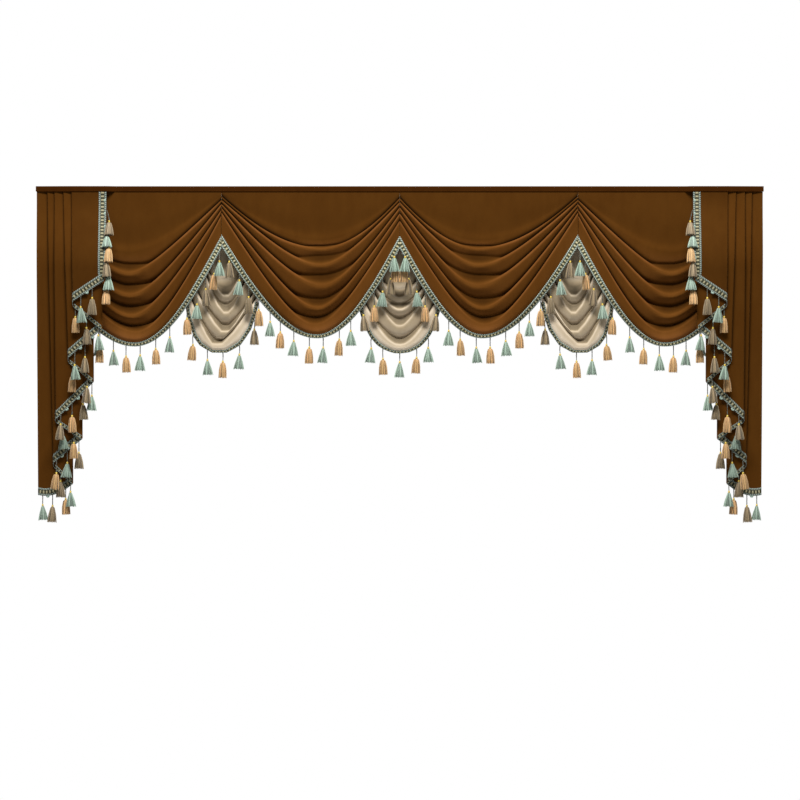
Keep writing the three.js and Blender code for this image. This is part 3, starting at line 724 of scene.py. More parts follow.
@dataclass
class Trimmings:
    """The shapes that repeat along every braid: skirts, beads and edge loops.

    A skirt has strands round a core painted dark, a painted shade for the inside of the skirt. Deep
    is its depth as a share of its width.
    """

    strands: int = 30
    inner_strands: int = 12
    strand: float = 1.2
    deep: float = 0.62
    neck: float = 2.4
    bead_half_width: float = 3.5
    core_shade: float = 0.3
    shades: Pair = (0.55, 1.22)
    seed: int = 7
    skirts: bpy.types.Collection = field(init=False)
    beads: bpy.types.Collection = field(init=False)
    loops: bpy.types.Collection = field(init=False)

    def __post_init__(self) -> None:
        """Makes the shapes, out of sight."""
        chance = np.random.default_rng(self.seed)
        self.skirts = collect("skirts", [
            self.skirt(kind.value, chance) for kind in Tassel for _ in range(VARIANTS)])
        self.beads = collect("beads", [[self.bead()]])
        self.loops = collect("loops", [[self.loop()]])

    def skirt(self, kind: TasselKind, chance: np.random.Generator) -> list[Shape]:
        """One tassel's skirt of loose strands, hanging from the origin.

        Args:
            kind: Its sizes and colour.
            chance: The source of its unevenness.

        Returns:
            Its core and strands.
        """
        shares = np.array([0, 0.07, 0.2, 0.5, 0.8, 1.0])
        taper = np.array([0.55, 0.8, 1.0, 1.05, 1.0, 0.6])
        flare = mix(kind.waist, kind.hem, 0.6)
        wide = np.array(
            [self.neck, kind.shoulder * 0.8, kind.shoulder, kind.waist, flare, kind.hem])
        colour = np.array(kind.colour)
        # The core is painted shade: the yarn's colour darkened by core_shade.
        dark = colour * (*[self.core_shade] * 3, 1)
        shapes = [Shape.tube(ovals(0.8 * wide, -0.93 * kind.length * shares, 8, self.deep), dark)]
        for i in range(self.strands + self.inner_strands):
            outer = i < self.strands
            count = self.strands if outer else self.inner_strands
            angle = TURN * (i + chance.uniform(-0.3, 0.3)) / count
            reach = wide * chance.uniform(*((0.94, 1.04) if outer else (0.5, 0.8)))
            drop = kind.length * chance.uniform(0.94, 1.0)
            bend = chance.normal(0, 0.05) * np.sin(math.pi * shares)
            turns = angle + bend + chance.normal(0, 0.05) * shares
            across, depth = reach * np.cos(turns), self.deep * reach * np.sin(turns)
            line = np.stack([across, depth, -drop * shares], -1)
            shade = chance.uniform(*self.shades)
            tint = colour * (shade, shade * chance.uniform(0.97, 1.03), shade, 1)
            rings = rings_round(line, self.strand * taper, 3, angle)
            shapes.append(Shape.tube(rings, np.clip(tint, 0, 1)))
        return shapes

    def bead(self) -> Shape:
        """The gold binding at a tassel's neck, centred on the origin."""
        rows = np.linspace(-0.92, 0.92, 6)
        return Shape.tube(ovals(self.bead_half_width * np.cos(rows), BEAD_HALF * rows, 10))

    @staticmethod
    def loop() -> Shape:
        """A soft loop of yarn at a braid's edge.

        Returns:
            The loop, hanging from the origin.
        """
        angle = np.linspace(0, math.pi, 9)
        line = np.stack([-4.2 * np.cos(angle), np.zeros(9), -4.5 * np.sin(angle)], -1)
        thick = np.array([2.2, 2.6, 3.0, 3.2, 3.3, 3.2, 3.0, 2.6, 2.2])
        rings = rings_round(line, thick, 6, flat=-0.8, up=(0, 1, 0))
        return Shape.tube(rings, srgb(160, 182, 168))


@dataclass(frozen=True)
class Workshop:
    """What pieces are made with: a velvet for each slot, the braid's finishes and what repeats.

    The braid's finishes are its weave, its yarn and its gold thread.
    """

    velvets: dict[str, Material]
    finishes: list[Material]
    trims: Trimmings
    tree: HangingTree


@dataclass
class HemStrip:
    """The cloth along a hem: points and right-side directions up from the edge, place by place."""

    lines: Array
    normals: Array

    @staticmethod
    def lowest(grid: Array, normals: Array, rows: int, columns: slice = slice(None)) -> HemStrip:
        """The lowest rows of a cloth, from its hem up.

        Args:
            grid: The cloth.
            normals: Its right-side directions.
            rows: How many rows count.
            columns: Which columns count.

        Returns:
            The strip.
        """
        low = (table[: -rows - 1 : -1, columns] for table in (grid, normals))
        return HemStrip(*(table.swapaxes(0, 1) for table in low))

    @property
    def out(self) -> Array:
        """The way out over the edge at each place."""
        return unit(self.lines[:, 0] - self.lines[:, 1])

    def walk(self, place: int, distances: Array) -> tuple[Array, Array]:
        """Points at distances up from the hem's edge, or below it where they are negative.

        Args:
            place: The place along the hem.
            distances: How far up each point is.

        Returns:
            The points and the cloth's direction there.
        """
        line = self.lines[place]
        far = lengths(line)
        points = between(distances, far, line)
        points += np.maximum(-distances, 0)[:, None] * unit(line[0] - line[1])
        return points, unit(between(distances, far, self.normals[place]))


@dataclass(frozen=True)
class Hung:
    """A tassel on a hem: its place, kind and cord, and its push sideways and forward."""

    x: float
    kind: Tassel
    cord: float = 29.0
    sway: float = 0.0
    over: float = 0.0
    layer: int = 0


@dataclass
class Root:
    """Where a tassel or a loop leaves a braid's edge, and which way is out and along."""

    point: Array
    out: Array
    hung: Hung | None = None
    number: int = 0
    along: Array | None = None


@dataclass
class Braid:
    """A woven strip along a hem, with tassels and loops on its outer edge.

    Light is painted light and shade on its yarn, a factor on its colour in the middle of a drape
    and elsewhere. Relief is how high the weave stands at shares of its width.
    """

    width: float
    seed: int
    light: Pair = (1.8, 1.3)
    overhang: float = 4.0
    clear: float = 0.5
    hang_forward: float = 3.0
    ply: float = 1.15
    ply_turn: float = 8.0
    relief: tuple[Pair, ...] = (
        (0.0, 0.5), (0.05, 1.5), (0.13, 2.0), (0.22, 1.4), (0.3, 0.9), (0.4, 1.3), (0.5, 1.6),
        (0.6, 1.3), (0.7, 0.9), (0.78, 1.4), (0.87, 2.0), (0.95, 1.5), (1.0, 0.5))

    def strip(self, hem: HemStrip, rises: Array, facing: float = 1.0,
              middle: Number = 0.0) -> tuple[Shape, Array]:
        """The woven strip itself.

        Args:
            hem: The cloth that it lies on.
            rises: How far up the cloth its inner edge is at each place.
            facing: 1 on the cloth's right side, -1 on its wrong side.
            middle: How near each place is to the middle of a drape.

        Returns:
            The strip with UV along and across it, and the line of its outer edge.
        """
        across, high = np.array(self.relief).T
        near = CLOTH / 2 + self.clear
        rings, edge = [], []
        for place, rise in enumerate(rises):
            points, normals = hem.walk(place, -self.overhang + across * (rise + self.overhang))
            normals = facing * normals
            front, back = points + normals * (near + high)[:, None], points + normals * near
            rings.append(np.concatenate([front, back[::-1]]))
            edge.append(points[0] + normals[0] * (near + 0.6))
        rings, edge = np.array(rings), np.array(edge)
        way = unit(np.gradient(edge, axis=0))
        along = lengths(edge)[:, None] + np.einsum("pvk,pk->pv", rings - edge[:, None], way)
        shares = np.tile(np.concatenate([across, across[::-1]]), (len(rings), 1))
        shape = Shape.tube(rings)
        # Painted light and shade: the braid's colour is scaled by light, more in the middle of a
        # drape.
        light = np.broadcast_to(mix(self.light[1], self.light[0], middle), len(rings))
        shape.tint[:, :3] *= np.repeat(light, rings.shape[1])[:, None]
        return replace(shape, uv=np.stack([along * MM, shares], -1).reshape(-1, 2)), edge

    def lean(self, root: Root) -> tuple[float, float, float]:
        """How a tassel hangs: its neck's way sideways and forward, and its skirt's tilt."""
        return root.hung.sway, self.hang_forward + root.hung.over, 0.0

    def tassels(self, roots: list[Root], loops: list[Root], shop: Workshop) -> list[Shape]:
        """All that hangs on the braid's edge.

        Args:
            roots: Where the tassels' cords start.
            loops: Where the edge loops sit.
            shop: Finishes and the shapes that repeat.

        Returns:
            Cords, skirts, beads and loops.
        """
        chance = np.random.default_rng(self.seed)
        shapes, skirts, beads = [], [], []
        for root in roots:
            sway, forward, tilt = self.lean(root)
            neck = root.point + (sway, -forward, -root.hung.cord - chance.uniform(-2.0, 2.5))
            shapes += self.cord(root, neck)
            bead = neck + (0, 0, -BEAD_HALF * 0.8)
            beads.append(Hanging(0, bead, (0, 0, chance.uniform(0, 3))))
            size = chance.uniform(0.95, 1.03, 3) * (1, 0.75 if tilt else 1, 1)
            turn = (chance.normal(0, 0.02) - tilt, chance.normal(0, 0.05),
                    0.0 if tilt else chance.normal(0, 0.15))
            kind = list(Tassel).index(root.hung.kind) * VARIANTS
            which = kind + int(chance.integers(VARIANTS))
            skirts.append(Hanging(which, neck + (0, 0, -BEAD_HALF * 1.3), turn, tuple(size)))
        edges = [Hanging(0, r.point - r.out * 1.5, (0, -math.atan2(r.along[2], r.along[0]), 0),
                         tuple(chance.uniform(0.85, 1.1, 3))) for r in loops]
        trims = shop.trims
        for places, kinds, finish in (
                (skirts, trims.skirts, 1), (beads, trims.beads, 2), (edges, trims.loops, 1)):
            if places:
                shapes.append(shop.tree.hang(places, kinds, shop.finishes[finish], finish))
        return shapes

    def cord(self, root: Root, neck: Array) -> list[Shape]:
        """A tassel's cord of two twisted plies, from the braid's edge to its neck.

        Args:
            root: Where it starts.
            neck: Where it ends.

        Returns:
            The two plies.
        """
        start, bend = root.point - root.out * 2.5, root.point + root.out * 5.0
        share = np.linspace(0, 1, 13)[:, None]
        line = mix(mix(start, bend, share), mix(bend, neck, share), share)
        plies = []
        for k, colour in enumerate((srgb(92, 108, 98), srgb(84, 58, 34))):
            twist = TURN * lengths(line) / self.ply_turn + math.pi * k
            ply = line + 0.85 * np.stack([np.cos(twist), np.sin(twist), np.zeros(13)], -1)
            plies.append(Shape.tube(rings_round(ply, np.full(13, self.ply), 4), colour, 1))
        return plies


@dataclass(kw_only=True)
class Cloth:
    """A hanging cloth with a braid: its cut size and area, how it is held, and its place."""

    name: str
    braid: Braid
    flat: Pair
    area: float
    slot: str = "velvet_brown"
    held: str = "draped"
    place: float = 0.0
    mirrored: bool = False

    def put(self, shape: Shape) -> Shape:
        """A shape moved to the cloth's place in the valance."""
        moved = replace(shape, points=shape.points + (self.place, 0, 0))
        return moved.mirrored() if self.mirrored else moved

    def sew(self, sheet: Shape, trim: list[Shape], shop: Workshop) -> None:
        """Args:
            sheet: The velvet.
            trim: The braid and all that hangs on it.
            shop: The finishes.
        """
        piece = make_piece(f"{self.name}_cloth", self.name, [self.put(sheet)],
                           [shop.velvets[self.slot]])
        braid = make_piece(f"{self.name}_trim", f"braid_{self.name}",
                           [self.put(shape) for shape in trim], shop.finishes)


@dataclass(frozen=True)
class Curve:
    """A fold's or hem's line across a drape, from its left end by its lowest point to its right."""

    low_x: float
    low: float
    round: float
    left: float
    right: float
    forward: float
    left_x: float | None = None
    right_x: float | None = None
    bulge: float = 0.0


@dataclass(frozen=True)
class Fold(Curve):
    """A fold of a drape, with the crease above it and that crease's depth."""

    crease: float = 0.0
    tuck: float = 0.0


@dataclass(frozen=True)
class Hem(Curve):
    """A drape's hem, and how far forward it hangs at its ends."""

    at_ends: float = 0.0


@dataclass(frozen=True)
class FoldShape:
    """How folds run between two creases; pairs are for the middle and the flanks of a drape.

    Nose is where a fold stands out most, fall is where it starts to turn in, turned is how far it
    has turned in there, and crest_sink is how deep a roll's upper slope lies at its crest. Scoop is
    how far out the slope between a crease and its crest has come half way down. Facets is how far
    the cloth breaks into straight stretches, and shallow is how much of a crease's depth is left.

    The shades are painted shade and highlight, a factor on the velvet's colour: how light the cloth
    is painted at a crease, half way to its crest, on the crest, at the nose, where it starts to
    turn in and down to the hem; top_shade is the same above the first fold. Line is how dark a
    painted shadow line above each crest is, with two widths, and rim how light a painted highlight
    just below it is. Paling is how red, green and blue grow where the painted highlight is light.
    """

    nose: Pair = (0.3, 0.14)
    fall: Pair = (0.75, 0.88)
    turned: Pair = (0.55, 0.42)
    crest_sink: float = 0.42
    scoop: Pair = (0.35, 0.5)
    facets: float = 0.0
    shallow: float = 1.0
    top_shade: float = 0.94
    shades: tuple[Pair, ...] = (
        (0.65, 0.9), (0.56, 1.1), (1.0, 1.2), (1.32, 1.2), (1.85, 1.45), (2.3, 1.3))
    line: Pair = (0.0, 0.98)
    line_widths: Pair = (12.0, 6.0)
    rim: Pair = (0.3, 1.1)
    rim_below: float = 3.5
    rim_width: float = 4.2
    paling: tuple[float, float, float] = (1.0, 1.04, 1.9)


SOFT_ROLLS = FoldShape()
SHARP_ROLLS = FoldShape(
    fall=(0.86, 0.88), turned=(0.3, 0.42), crest_sink=0.12, scoop=(0.2, 0.4), facets=0.85,
    shallow=0.72, top_shade=1.5,
    shades=((1.6, 0.9), (0.45, 0.75), (0.55, 0.85), (1.05, 1.1), (1.8, 1.1), (2.1, 2.0)),
    line=(0.0, 0.9), rim=(0.8, 1.2), rim_below=4.5, paling=(1.0, 1.12, 1.4))
ROUND_ROLLS = replace(SHARP_ROLLS, facets=0.25)


@dataclass(kw_only=True)
class Drape(Cloth):
    """A swag or a cowl: cloth hung from its two ends in folds, with a braid on its hem.

    Places across it run from -1 at its left end, through 0 at its lowest point, to 1. Rolls is how
    far from the middle, to the left and to the right, the folds are rolls and not pleats. Row_step
    and strip_step are how far apart points lie down the cloth and along the braid. The braid takes
    up to a share, braid_room, of the lowest hem_rows, and least_slant limits how wide it gets where
    the hem is steep.
    """

    ends: Pair
    back: float
    layer: float
    folds: tuple[Fold, ...]
    hem: Hem
    tassels: tuple[Hung, ...]
    shape: FoldShape = SOFT_ROLLS
    rolls: Pair = (0.3, 0.3)
    pleat_drop: float = 15.0
    seam_gap: float = CLEAR
    braid_reach: float = 1.0
    columns: int = 129
    coarse: int = 13
    row_step: float = 5.5
    strip_step: float = 3.5
    hem_rows: int = 24
    braid_room: float = 0.92
    least_slant: float = 0.16
    ripple: float = 0.6
    waves: tuple[float, ...] = (260.0, 150.0, 95.0, 60.0)
    bends: tuple[float, ...] = (-1, -0.82, -0.6, -0.36, -0.12, 0.12, 0.36, 0.6, 0.82, 1.0)
    seed: int = 1

    def curve(self, line: Curve, t: Array, bulge_share: float = 1.0) -> tuple[Array, Array]:
        """Where a line runs across the drape.

        Args:
            line: The fold or hem.
            t: Places across it.
            bulge_share: How much of its sideways swing counts.

        Returns:
            Sideways place and height.
        """
        s = np.abs(t)
        first = self.ends[0] if line.left_x is None else line.left_x
        last = self.ends[1] if line.right_x is None else line.right_x
        rise = (np.hypot(s, line.round) - line.round) / (math.hypot(1, line.round) - line.round)
        swing = line.bulge * bulge_share * np.sin(math.pi * t)
        x = mix(line.low_x, np.where(t < 0, first, last), s) + swing
        return x, mix(line.low, np.where(t < 0, line.left, line.right), rise)

    def roll(self, t: Array) -> Array:
        """How much the folds are rolls at places across the drape, and not pleats."""
        return bell(t / np.where(t < 0, *self.rolls))

    def main_rows(self, t: Array) -> tuple[Array, Array]:
        """The drape's main rows, from the cut top edge to the hem.

        Args:
            t: Places across it.

        Returns:
            Rows of points, and how light the pile looks at each of them.
        """
        roll, swell = self.roll(t), np.maximum(np.cos(math.pi / 2 * t), 0)
        folds, hem, back, layer, shape = self.folds, self.hem, self.back, self.layer, self.shape
        curves = [self.curve(fold, t) for fold in folds]
        edge_x, edge_z = self.curve(hem, t)
        straight = self.curve(folds[0], t, 0)[0]
        # Painted shade and highlight for each kind of main row, mixed from the flanks to the
        # middle; top is the painted shade above the first fold.
        nap_and_painted_shade = [mix(flank, middle, roll) for middle, flank in shape.shades]
        top = np.full_like(t, shape.top_shade)
        rows: list[Array] = []
        shades: list[Array] = []

        def add(x: Array, at_seam: float, in_middle: Number, z: Number, shade: Array) -> None:
            """Adds a row, from its depths at the seams and in the middle."""
            rows.append(np.stack(np.broadcast_arrays(x, -mix(at_seam, in_middle, swell), z), -1))
            shades.append(shade)

        add(straight, back, back, CLOTH_TOP, top)
        add(straight, back, back, BELOW_HEADING, top)
        x, z = curves[0]
        for down, out in ((0.5, 0.35), (0.86, 0.5)):
            add(mix(straight, x, down), back, mix(back, folds[0].forward, out),
                mix(BELOW_HEADING, z, down), top)
        for k, fold in enumerate(folds):
            x, z = curves[k]
            seam = back + 2 * layer * k
            if k == 0:
                add(x, seam, fold.forward - 2.0, z, mix(top, nap_and_painted_shade[2], 0.5))
            else:
                above_x, above_z = curves[k - 1]
                share = (fold.crease - folds[k - 1].low) / (fold.low - folds[k - 1].low)
                add(mix(x, mix(above_x, x, share), roll), seam - 1.5 * layer,
                    fold.forward - shape.shallow * fold.tuck,
                    mix(z - self.pleat_drop, mix(above_z, z, share), roll), nap_and_painted_shade[0])
                crease, sink = rows[-1], mix(2.0, shape.crest_sink * fold.tuck, roll)
                add(x, seam - 0.5 * layer, fold.forward - sink, z, nap_and_painted_shade[2])
                half = mix(crease, rows[-1], 0.5)
                scoop = mix(shape.scoop[1], shape.scoop[0], roll)
                half[:, 1] = mix(crease[:, 1], rows[-1][:, 1], scoop)
                rows.insert(-1, half)
                shades.insert(-1, nap_and_painted_shade[1])
            if k + 1 == len(folds):
                continue
            below, (below_x, below_z) = folds[k + 1], curves[k + 1]
            room = (below.crease - fold.low) / (below.low - fold.low)
            nose, fall = (mix(flank, middle * room, roll)
                          for middle, flank in (shape.nose, shape.fall))
            if k > 0:
                add(mix(x, below_x, nose), seam, fold.forward + 1, mix(z, below_z, nose), nap_and_painted_shade[3])
            turned = mix(shape.turned[1], shape.turned[0], roll)
            add(mix(x, below_x, fall), seam,
                mix(fold.forward + 1, below.forward - below.tuck, turned),
                mix(z, below_z, fall), nap_and_painted_shade[4])
        add(mix(x, edge_x, 0.6), mix(seam, hem.at_ends, 0.4), folds[-1].forward + 1,
            mix(z, edge_z, 0.6), nap_and_painted_shade[5])
        add(edge_x, hem.at_ends, hem.forward, edge_z, nap_and_painted_shade[5])
        grid = np.stack(rows)
        middle, width = sum(self.ends) / 2, self.ends[1] - self.ends[0]
        grid[..., 0] = middle + (grid[..., 0] - middle) * (1 - 2 * self.seam_gap / width)
        return grid, np.stack(shades)

    def grid(self, t: Array) -> tuple[Array, Array]:
        """The smooth cloth at places across it, with small ripples.

        Args:
            t: Places across the drape.

        Returns:
            Rows of points, and the painted shade and highlight at each of them.
        """
        measure, _ = self.main_rows(np.array([-0.8, -0.35, 0.0, 0.35, 0.8]))
        reach = np.linalg.norm(np.diff(measure, axis=0), axis=-1).max(1)
        steps = [int(np.clip(round(r / self.row_step), 3, 16)) for r in reach]
        chance = np.random.default_rng(self.seed)
        rows, shades = self.main_rows(t)
        if self.shape.facets:
            for r in range(2, len(rows)):
                bends = np.array(self.bends)
                bends[1:-1] += chance.normal(0, 0.02, len(bends) - 2)
                straight = between(t, bends, self.main_rows(bends)[0][r])
                rows[r] = mix(rows[r], straight, self.shape.facets)
        grid = through(rows, steps)
        x, z = grid[..., 0], grid[..., 2]
        calm = np.maximum(np.cos(math.pi / 2 * t), 0) * smooth((BELOW_HEADING - z) / 120)
        wave = np.zeros(grid.shape[:2])
        for long in self.waves:
            angle, phase = chance.uniform(-0.5, 0.5), chance.uniform(0, 6)
            along = x * math.cos(angle) + z * math.sin(angle)
            wave += long / 200 * np.sin(TURN / long * along + phase)
        grid[..., 1] -= self.ripple * calm * wave
        return grid, self.shade(grid, shades, np.concatenate([[0], np.cumsum(steps)]), self.roll(t))

    def shade(self, grid: Array, shades: Array, stations: Array, roll: Array) -> Array:
        """Painted shade, with a painted shadow line above each crest and a painted highlight below
        it.

        Args:
            grid: The cloth.
            shades: The painted shade at its main rows.
            stations: The main rows' numbers among all rows.
            roll: How much the folds are rolls in each column.

        Returns:
            A factor for each point.
        """
        shape, every = self.shape, np.arange(stations[-1] + 1)
        light = np.stack([np.interp(every, stations, column) for column in shades.T], -1)
        far = lengths(grid)
        line, rim = (mix(flank, middle, roll) for middle, flank in (shape.line, shape.rim))
        for k in range(1, len(self.folds)):
            crease, crest = stations[5 * k + 1], stations[5 * k + 3]
            # Painted highlight just below each crest.
            light += rim * bell((far - far[crest] - shape.rim_below) / shape.rim_width)
            above = np.linalg.norm((grid[:crease] - grid[crest])[..., ::2], axis=-1)
            # Painted shadow line above each crest, in two widths.
            for width in shape.line_widths:
                light[:crease] *= 1 - line * bell(above / width)
        return light

    def roots(self) -> list[float]:
        """The tassels' places along the hem, on the edge as the part's source bends it.

        Returns:
            A place across the drape for each tassel.
        """
        even = np.linspace(-1, 1, self.coarse)
        bends = np.sign(even) * np.abs(even) ** 1.2
        keep = np.abs(bends) < self.braid_reach - 0.01
        bends = np.concatenate([[-self.braid_reach], bends[keep], [self.braid_reach]])
        rows, _ = self.main_rows(bends)
        edge = rows[-1] + self.braid.overhang * unit(rows[-1] - rows[-2])
        return [float(np.interp(hung.x, edge[:, 0], bends)) for hung in self.tassels]

    def hem_strip(self, t: Array) -> tuple[HemStrip, Array]:
        """The cloth along the hem.

        Args:
            t: Places along it.

        Returns:
            The cloth, and how far up it the braid's inner edge lies.
        """
        grid, _ = self.grid(t)
        hem = HemStrip.lowest(grid, grid_normals(grid, self.seam_gap > 0), self.hem_rows)
        along = unit(np.gradient(hem.lines[:, 0], axis=0))
        lean = (unit(hem.lines[:, 6] - hem.lines[:, 0]) * along).sum(-1)
        slant = np.sqrt(np.maximum(1 - lean**2, self.least_slant))
        room = np.array([lengths(line)[-1] for line in hem.lines]) * self.braid_room
        return hem, np.minimum(self.braid.width / slant, room)

    def build(self, shop: Workshop) -> None:
        """Makes the cloth and its braid.

        Args:
            shop: Finishes and the shapes that repeat.
        """
        even = np.linspace(-1, 1, self.columns)
        grid, light = self.grid(np.sign(even) * np.abs(even) ** 1.1)
        sheet = Shape.sheet(grid, grid_normals(grid, self.seam_gap > 0))
        # The painted shade and highlight go into the tint; above 1, red, green and blue rise by
        # paling, so painted highlights are paler.
        shade = np.tile(light.ravel(), 2)[:, None]
        sheet.tint[:, :3] = np.where(shade > 1, shade**self.shape.paling, shade)
        reach = self.braid_reach
        long = lengths(self.main_rows(np.linspace(-reach, reach, 40))[0][-1])[-1]
        t = np.linspace(-reach, reach, int(long / self.strip_step))
        hem, rises = self.hem_strip(t)
        strip, edge = self.braid.strip(hem, rises, middle=self.roll(t))
        roots = [Root(between(place, t, edge), between(place, t, hem.out), hung, number)
                 for number, (place, hung) in enumerate(zip(self.roots(), self.tassels))]
        self.sew(sheet, [strip, *self.braid.tassels(roots, [], shop)], shop)


@dataclass(frozen=True)
class TailFold:
    """A fold line of a tail: x at the top and hem, the hem's height, its drop and sag beyond."""

    top: float
    hem: float
    height: float
    turn: float = 0.0
    sag: float = 0.0

    def x(self, z: Number) -> Number:
        """Where the fold is at some height."""
        return mix(self.top, self.hem, z / self.height)


class TailBraid(Braid):
    """A tail's braid, whose tassels lie over each other along the front edge.

    Skirt is a skirt's length there, sways and lift are how far necks are pushed sideways, in turn,
    and forward, and slope is how much more a skirt tilts than the cloth.
    """

    SKIRT = 57.0
    SWAYS = (11.0, 4.0)
    LIFT = 6.0
    SLOPE = 0.22

    def lean(self, root: Root) -> tuple[float, float, float]:
        """How a tassel hangs.

        Args:
            root: Where its cord starts.

        Returns:
            Its neck's way sideways and forward, and its skirt's tilt.
        """
        if abs(root.out[0]) < 0.9:
            return super().lean(root)
        cord = root.hung.cord
        start, neck, tip = (
            float(Tail.depth(0, root.point[2] - drop)) for drop in (0, cord, cord + self.SKIRT))
        tilt = math.atan((tip - neck) / self.SKIRT + self.SLOPE)
        return self.SWAYS[root.number % 2], neck - start + self.LIFT, tilt


@dataclass(kw_only=True)
class Tail(Cloth):
    """A pleated tail at an end of the valance, with a braid down its free edge and its hem.

    Its layers are counted from the front. Shadow is how dark the painted shadow lines beside the
    folds are, and front_shade how much darker the front layer is painted. At_top and at_hem are how
    far forward the last layer hangs, and each layer before the one behind it.
    Least_slant limits how wide the braid gets where the hem is steep.
    """

    held: str = "hung"
    per_layer: int = 28
    per_fold: int = 7
    levels: int = 26
    hem_rows: int = 14
    least_slant: float = 0.7
    puff: float = 2.5
    first_tassel: float = 56.0
    edge_cord: float = 37.0
    far_side: float = 0.42
    front_shade: float = 0.84
    shadow: float = 0.72

    FLARE_TO = -280.0
    AT_TOP = (3.9, 1.9)
    AT_HEM = (44.0, 7.0)
    KINDS = (TAUPE, TEAL, GOLD)
    FOLDS = (
        TailFold(-1011, -1011, -322), TailFold(-1126, -1118, -391, 24),
        TailFold(-1021, -1018, -490), TailFold(-1155, -1134, -583, 24),
        TailFold(-1050, -1048, -672), TailFold(-1185, -1178, -795, 15),
        TailFold(-1090, -1087, -866), TailFold(-1210, -1186, -943, 22),
        TailFold(-1122, -1120, -1020, sag=-16), TailFold(-1247, -1240, -1056))
    TASSELS = (
        Hung(-1052, TAUPE, 30), Hung(-1091, TEAL, 36, over=5), Hung(-1110, GOLD, 23, layer=1),
        Hung(-1072, TAUPE, 30, layer=1), Hung(-1031, TEAL, 24, over=9, layer=1),
        Hung(-1026, GOLD, 50, layer=2), Hung(-1077, TAUPE, 43, layer=2),
        Hung(-1112, TEAL, 40, over=10, layer=2), Hung(-1120, GOLD, 26, over=2.5, layer=3),
        Hung(-1070, TAUPE, 28, over=13, layer=3), Hung(-1054, TEAL, 44, layer=3),
        Hung(-1084, TAUPE, 36, layer=4), Hung(-1122, GOLD, 38, layer=4),
        Hung(-1161, TAUPE, 31, over=8, layer=4), Hung(-1154, TEAL, 23, over=3, layer=5),
        Hung(-1116, GOLD, 23, over=13, layer=5), Hung(-1099, TAUPE, 46, layer=5),
        Hung(-1139, TEAL, 37, layer=6), Hung(-1176, GOLD, 38, over=11, layer=6),
        Hung(-1162, TAUPE, 23, over=5, layer=7), Hung(-1128, TEAL, 26, over=11, layer=7),
        Hung(-1145, GOLD, 30, layer=8), Hung(-1190, TAUPE, 32, layer=8),
        Hung(-1224, TEAL, 28, layer=8))

    @classmethod
    def depth(cls, layer: float, z: Number) -> Number:
        """How far forward a layer hangs.

        Args:
            layer: The layer.
            z: The height.

        Returns:
            The distance.
        """
        from_back = len(cls.FOLDS) - 2 - layer
        spread = smooth((BELOW_HEADING - z) / (BELOW_HEADING - cls.FLARE_TO))
        top, low = (last + step * from_back for last, step in (cls.AT_TOP, cls.AT_HEM))
        return mix(top, low, spread)

    def heights(self, hem: float) -> Array:
        """Heights down to the hem: fixed ones where the cloth flares, then shares of the rest.

        Args:
            hem: The hem's height.

        Returns:
            The heights.
        """
        top = np.array([CLOTH_TOP, *np.linspace(BELOW_HEADING, self.FLARE_TO, 18)])
        shares = np.linspace(0, 1, self.levels + 1)[1:]
        return np.concatenate([top, mix(self.FLARE_TO, hem, shares)])

    def column(self, layer: int, share: float) -> Array:
        """Points down the cloth, part of the way across one layer.

        Args:
            layer: The layer.
            share: The way across, from 0 to 1, between the layer's two folds.

        Returns:
            The points.
        """
        last = len(self.FOLDS) - 2
        start, end = self.FOLDS[layer], self.FOLDS[layer + 1]
        belly = 4 * share * (1 - share)
        z = self.heights(mix(start.height - start.turn, end.height, share) + start.sag * belly)
        depth = self.depth(layer, z)
        sides = []
        for fold, opposite, other in ((start, end, layer - 1), (end, start, layer + 1)):
            inset = np.abs(depth - self.depth(other, z)) / 2 if 0 <= other <= last else 0.0
            sides.append(fold.x(z) + (1 if fold.top < opposite.top else -1) * inset)
        bow = self.puff * belly * smooth((BELOW_HEADING - z) / 200)
        return np.stack([mix(*sides, share), -(depth + bow), z], -1)

    def turn(self, layer: int, angle: float) -> Array:
        """Points down the cloth where it turns from one layer to the next.

        Args:
            layer: The layer in front.
            angle: From a quarter turn, at that layer, to minus a quarter, at the next.

        Returns:
            The points.
        """
        before, fold = self.FOLDS[layer], self.FOLDS[layer + 1]
        z = self.heights(fold.height - fold.turn * (1 - math.sin(angle)) / 2)
        near, far = self.depth(layer, z), self.depth(layer + 1, z)
        radius = (near - far) / 2
        way = 1 if fold.top < before.top else -1
        x = fold.x(z) + way * radius * (1 - math.cos(angle))
        return np.stack([x, -((near + far) / 2 + radius * math.sin(angle)), z], -1)

    def grid(self) -> tuple[Array, list[slice]]:
        """The folded cloth.

        Returns:
            Its rows of points, and each layer's columns.
        """
        columns: list[Array] = []
        spans = []
        for layer in range(len(self.FOLDS) - 1):
            first = len(columns)
            columns += [self.column(layer, share) for share in np.linspace(0, 1, self.per_layer)]
            spans.append(slice(first, len(columns)))
            if layer + 2 < len(self.FOLDS):
                angles = np.linspace(math.pi / 2, -math.pi / 2, self.per_fold + 2)[1:-1]
                columns += [self.turn(layer, angle) for angle in angles]
        return np.stack(columns, 1), spans

    def shade(self, grid: Array, spans: list[slice]) -> Array:
        """Painted shade: darker on the front layer, and a painted shadow line beside each fold that
        shows.

        Args:
            grid: The tail's cloth.
            spans: Each layer's columns.

        Returns:
            A factor for each point.
        """
        light = np.ones(grid.shape[:2])
        # Painted shade on the front layer.
        light[:, spans[0]] = self.front_shade
        for span, fold in zip(spans[2::2], self.FOLDS[1::2]):
            x, z = grid[:, span, 0], grid[:, span, 2]
            covered = smooth((z - fold.height + 10) / 40)
            beside = 1 - smooth((fold.x(z) - x + 1) / 9)
            # Painted shadow beside each fold, on the layer behind it.
            light[:, span] *= 1 - self.shadow * covered * beside
        return light

